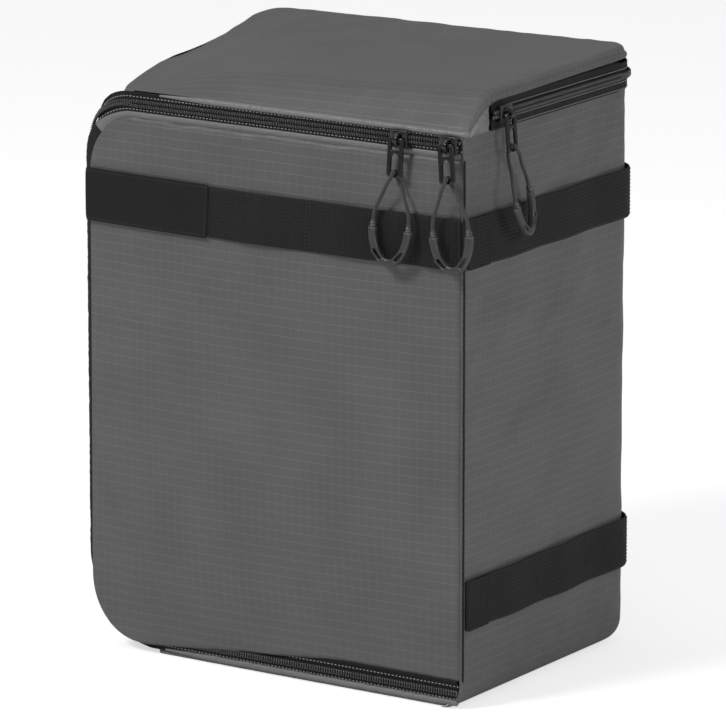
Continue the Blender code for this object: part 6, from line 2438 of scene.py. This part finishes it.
class BAGINSERT_OT_pulls(bpy.types.Operator):
    """Hang a metal tab, a cord loop and a moulded grip from each slider"""

    bl_idname = "bag_insert.pulls"
    bl_label = "Zip pulls"

    def execute(self, context):
        joints = {joint["name"]: joint for joint in frame["record"]["behaviour"]["joints"]}
        for name, (joint, sideways, outward, tilt, swing, twist) in PULLS.items():
            pivot = Vector(joints[joint]["pos_m"])
            axes = Matrix((sideways, outward.cross(sideways), outward)).transposed().to_4x4()
            place = (Matrix.Translation(pivot) @ Matrix.Rotation(-PULL_LEAN, 4, sideways) @ axes
                     @ Matrix.Rotation(tilt, 4, "Z"))
            lower = (place @ Matrix.Translation((0.0, CORD_SLOT_LOW, 0.0))
                     @ Matrix.Rotation(swing, 4, "Z") @ Matrix.Rotation(twist, 4, "Y"))
            self.tab(name, place)
            self.grip(name, lower)
            self.cord(name, lower)
        return {"FINISHED"}

    def tab(self, name, place):
        """Make the slotted metal tab."""
        outline = rounded_box(TAB_WIDTH, TAB_TOP - TAB_LENGTH, TAB_TOP, TAB_BAR)
        window = rounded_box(TAB_WIDTH - 2 * TAB_RAIL, TAB_WINDOW_LOW, -TAB_BAR / 2, TAB_BAR / 4, 2)
        slot = rounded_slot(TAB_WIDTH - 2 * TAB_RAIL, CORD_SLOT_HIGH - CORD_SLOT_LOW,
                            (0.0, (CORD_SLOT_HIGH + CORD_SLOT_LOW) / 2))
        mesh = flat_piece([outline, window, slot], TAB_THICKNESS, place, 0.00045, 2)
        show(name + "_plate", mesh, name, [painted_zinc()], [name + "_tab"])

    def grip(self, name, lower):
        """Make the moulded grip, with a ribbed collar where each end of the cord goes in."""
        place = lower @ Matrix.Translation((0.0, -CORD_DROP, 0.0))
        body = flat_piece([grip_outline(), *grip_slots()], GRIP_THICKNESS, place, 0.0011, 3)
        body.materials.append(grey_grip())
        meshes = [body]
        leg = GRIP_WIDTH / 2 - GRIP_BAND / 2
        along = (lower.to_3x3() @ UP.cross(RIGHT)).normalized()
        for side in (-1, 1):
            made = collar(place @ Vector((side * leg, 0.0, 0.0)), along, -0.0012, 0.0042, 0.0019)
            made.materials.append(grey_grip())
            meshes.append(made)
        mesh = joined_meshes(name + "_handle", meshes)
        show(name + "_handle", mesh, name, [], [name + "_grip"])

    def cord(self, name, lower):
        """Make the cord loop that runs through the tab and into the grip's two legs."""
        half = GRIP_WIDTH / 2 - GRIP_BAND / 2
        diameter = sizes().cord_diameter
        turn_radius = TAB_BAR / 2 + 2 * GAP + diameter / 2
        bar = -TAB_BAR / 2
        over = -turn_radius if name == "lid_pull" else turn_radius
        leg = [Vector((-across * half, GAP - down * CORD_DROP, depth * over))
               for across, down, depth in CORD_LEG_SHARES]
        bend = [Vector((0.0, bar + rise * turn_radius, depth * over))
                for rise, depth in CORD_BEND_SHARES]
        other_leg = [Vector((-point.x, point.y, -point.z)) for point in reversed(leg)]
        route = smooth_route([lower @ point for point in leg + bend + other_leg], 8)
        stations = tube_stations(route, lower.to_3x3() @ UP)
        mesh = strip(name + "_loop", stations, round_profile(diameter / 2, 12))
        show(name + "_loop", mesh, name, [grey_cord()], [name + "_cord"])


# Dividers

DIVIDER_RADIUS = 0.0045
DIVIDER_STEP = 0.012
HOOK_TAPE_ROUNDING = 0.0003


class BAGINSERT_OT_dividers(bpy.types.Operator):
    """Stand the padded shelf and columns inside, with their strips of hook tape"""

    bl_idname = "bag_insert.dividers"
    bl_label = "Dividers"

    def execute(self, context):
        finishes = [brushed_lining(), brushed_lining()]
        for node, body, thin in (("shelf_divider", "shelf", 2),
                                 ("column_divider_left", "column_left", 0),
                                 ("column_divider_right", "column_right", 0)):
            low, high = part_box(node)
            spans = [axis for axis in range(3) if axis != thin]

            def face(level, low=low, high=high, thin=thin, spans=spans):
                def surface(u, v):
                    point = Vector((0.0, 0.0, 0.0))
                    point[thin] = level
                    for axis, share in zip(spans, (u, v)):
                        point[axis] = low[axis] + (high[axis] - low[axis]) * share
                    return point
                return surface

            lengths = [high[axis] - low[axis] for axis in spans]
            mesh = padded_panel(node.replace("divider", "pad"), face(high[thin]), face(low[thin]),
                                crowded(lengths[0], DIVIDER_RADIUS, DIVIDER_STEP),
                                crowded(lengths[1], DIVIDER_RADIUS, DIVIDER_STEP), DIVIDER_RADIUS)
            piece = show(mesh.name, mesh, body, finishes, [node])
            refine(piece)
        for body, nodes in (
                ("shelf", ["shelf_hook_strip_left", "shelf_hook_strip_right"]),
                ("column_left", ["column_left_hook_strip_base", "column_left_hook_strip_back"]),
                ("column_right", ["column_right_hook_strip_base", "column_right_hook_strip_back"])):
            for node in nodes:
                mesh = softened(node, HOOK_TAPE_ROUNDING)
                show(node + "_tape", mesh, body, [hook_rows()], [node])
        return {"FINISHED"}


# Stage

CAMERA_TARGET = Vector((0.0, 0.0, 0.1711))
CAMERA_AZIMUTH = math.radians(33.4)
CAMERA_ELEVATION = math.radians(13.45)
CAMERA_DISTANCE = 3.9
CAMERA_LENS = 324.0
FLOOR_SIZE = 8.0
FLOOR_COLOUR = (0.86, 0.86, 0.86)
FLOOR_GLOW = 0.62
WORLD_LIGHT = 0.25

# Lamps: name, place, size and power
LAMPS = (
    ("key_light", (-0.7, -1.8, 2.0), 0.7, 27.3),
    ("side_light", (2.3, -0.3, 1.2), 0.9, 13.5),
    ("top_light", (-0.9, -0.1, 2.5), 0.9, 3.5),
)


class BAGINSERT_OT_camera(bpy.types.Operator):
    """Stand the camera where the photograph was taken from"""

    bl_idname = "bag_insert.camera"
    bl_label = "Camera"

    def execute(self, context):
        lens = bpy.data.cameras.new("view")
        lens.lens = CAMERA_LENS
        lens.sensor_width = 36.0
        lens.clip_end = 50.0
        holder = bpy.data.objects.new("view", lens)
        bpy.context.scene.collection.objects.link(holder)
        flat = math.cos(CAMERA_ELEVATION)
        away = Vector((math.sin(CAMERA_AZIMUTH) * flat, -math.cos(CAMERA_AZIMUTH) * flat,
                       math.sin(CAMERA_ELEVATION)))
        holder.location = CAMERA_TARGET + away * CAMERA_DISTANCE
        holder.rotation_euler = (-away).to_track_quat("-Z", "Y").to_euler()
        bpy.context.scene.camera = holder
        return {"FINISHED"}


class BAGINSERT_OT_stage(bpy.types.Operator):
    """Set the pale floor, the white surroundings and the soft lights"""

    bl_idname = "bag_insert.stage"
    bl_label = "Stage and lights"

    def execute(self, context):
        self.floor()
        self.surroundings()
        for name, place, size, power in LAMPS:
            lamp = bpy.data.lights.new(name, "AREA")
            lamp.shape = "DISK"
            lamp.size = size
            lamp.energy = power
            holder = bpy.data.objects.new(name, lamp)
            bpy.context.scene.collection.objects.link(holder)
            holder.location = place
            holder.rotation_euler = (CAMERA_TARGET - Vector(place)).to_track_quat("-Z", "Y").to_euler()
        bpy.context.scene.view_settings.view_transform = "Standard"
        return {"FINISHED"}

    def floor(self):
        """Lay a wide pale floor that is white to the camera and keeps the shadow."""
        shape = bmesh.new()
        bmesh.ops.create_grid(shape, x_segments=8, y_segments=8, size=FLOOR_SIZE)
        mesh = bpy.data.meshes.new("floor")
        shape.to_mesh(mesh)
        shape.free()
        finish = Finish("pale_floor", 0.85)
        mask = finish.patina(FLOOR_COLOUR, Spread=0.7, Shade=0.01, Dust=0.0)
        finish.roughen(mask, 0.8, 0.9)
        tree = finish.tree
        path = tree.nodes.new("ShaderNodeLightPath")
        glow = math_node(tree, "MULTIPLY", path.outputs["Is Camera Ray"], FLOOR_GLOW)
        finish.shader.inputs["Emission Color"].default_value = (1.0, 1.0, 1.0, 1.0)
        tree.links.new(glow, finish.shader.inputs["Emission Strength"])
        mesh.materials.append(finish.material)
        floor = bpy.data.objects.new("floor", mesh)
        bpy.context.scene.collection.objects.link(floor)

    def surroundings(self):
        """Make the world white to the camera and to reflections, and a plain light elsewhere."""
        world = bpy.data.worlds.new("surroundings")
        world.use_nodes = True
        tree = world.node_tree
        back = tree.nodes["Background"]
        path = tree.nodes.new("ShaderNodeLightPath")
        seen = math_node(tree, "MAXIMUM", path.outputs["Is Camera Ray"],
                         path.outputs["Is Transmission Ray"])
        strength = math_node(tree, "MULTIPLY_ADD", seen, 1 - WORLD_LIGHT, WORLD_LIGHT)
        tree.links.new(strength, back.inputs["Strength"])
        back.inputs["Color"].default_value = (1.0, 1.0, 1.0, 1.0)
        bpy.context.scene.world = world


# Settings, panel and running

RECORD_COLOURS = {item["slot"]: item["base_color"] for item in frame["record"]["materials"]}


def colour_setting(label, note, slot):
    """Return a colour setting that starts from the record's own finish."""
    return FloatVectorProperty(name=label, description=note, subtype="COLOR", size=3, min=0.0,
                               max=1.0, default=RECORD_COLOURS[slot])


def length_setting(label, note, value, low, high):
    """Return a length setting in metres."""
    return FloatProperty(name=label, description=note, default=value, min=low, max=high,
                         unit="LENGTH", subtype="DISTANCE", precision=5)


class BagInsertColours(bpy.types.PropertyGroup):
    """Colours of the insert's cloths and cords"""

    fabric: colour_setting("Fabric", "Grey of the ripstop panels", "ripstop")
    webbing: colour_setting("Webbing", "Black of the bands and tapes", "webbing")
    cord: colour_setting("Cord", "Grey of the pull cords", "pull_cord")
    grip: colour_setting("Grip", "Grey of the moulded grips", "pull_grip")
    lining: colour_setting("Lining", "Grey of the brushed lining", "lining")


class BagInsertSizes(bpy.types.PropertyGroup):
    """Fine sizes of the insert's zips, seams and cloth"""

    square_pitch: length_setting("Ripstop square", "Distance between the thicker yarns",
                                 0.0056, 0.002, 0.02)
    coil_pitch: length_setting("Coil pitch", "Distance between two teeth of a coil",
                               0.0017, 0.001, 0.004)
    cross_rib_pitch: length_setting("Band rib", "Distance between two ribs across a band",
                                    0.0017, 0.001, 0.004)
    stitch_pitch: length_setting("Stitch", "Length of one stitch along a seam", 0.0025, 0.0015, 0.006)
    cord_diameter: length_setting("Cord", "Diameter of the pull cords", 0.0022, 0.001, 0.004)
    slack_height: length_setting("Slack", "How far the cloth may stand off its foam",
                                 0.0011, 0.0, 0.004)
    surplus_share: FloatProperty(name="Surplus", default=0.008, min=0.0, max=0.05,
                                 description="How much larger than its panel each cloth is cut",
                                 subtype="FACTOR")
    cloth_frames: IntProperty(name="Cloth frames", description="Length of the cloth simulation",
                              default=20, min=5, max=60)


STEPS = ("camera", "stage", "door_fabric", "walls_fabric", "lid_fabric", "base_fabric",
         "foam_boards", "edges", "webbing", "zip_tapes", "zip_coils", "stitches", "sliders",
         "pulls", "dividers")


class BAGINSERT_PT_panel(bpy.types.Panel):
    """Lists the insert's settings and the steps that dress it"""

    bl_idname = "BAGINSERT_PT_panel"
    bl_label = "Camera bag insert"
    bl_space_type = "VIEW_3D"
    bl_region_type = "UI"
    bl_category = "Bag insert"

    def draw(self, context):
        layout = self.layout
        for settings in (context.scene.bag_insert_colours, context.scene.bag_insert_sizes):
            for name in settings.__annotations__:
                layout.prop(settings, name)
        for step in STEPS:
            layout.operator("bag_insert." + step)


CLASSES = (
    BagInsertColours, BagInsertSizes, BAGINSERT_OT_camera, BAGINSERT_OT_stage,
    BAGINSERT_OT_door_fabric, BAGINSERT_OT_walls_fabric, BAGINSERT_OT_lid_fabric,
    BAGINSERT_OT_base_fabric, BAGINSERT_OT_foam_boards, BAGINSERT_OT_edges,
    BAGINSERT_OT_webbing, BAGINSERT_OT_zip_tapes, BAGINSERT_OT_zip_coils,
    BAGINSERT_OT_stitches, BAGINSERT_OT_sliders, BAGINSERT_OT_pulls, BAGINSERT_OT_dividers,
    BAGINSERT_PT_panel,
)


def register():
    """Register the classes and hang the settings on the scene."""
    for made in CLASSES:
        bpy.utils.register_class(made)
    bpy.types.Scene.bag_insert_colours = PointerProperty(type=BagInsertColours)
    bpy.types.Scene.bag_insert_sizes = PointerProperty(type=BagInsertSizes)


def unregister():
    """Take the settings off the scene and unregister the classes."""
    del bpy.types.Scene.bag_insert_sizes
    del bpy.types.Scene.bag_insert_colours
    for made in reversed(CLASSES):
        bpy.utils.unregister_class(made)


def main():
    """Dress the frame and write down its size before and after."""
    register()
    for step in STEPS:
        getattr(bpy.ops.bag_insert, step)()


if __name__ == "__main__":
    main()
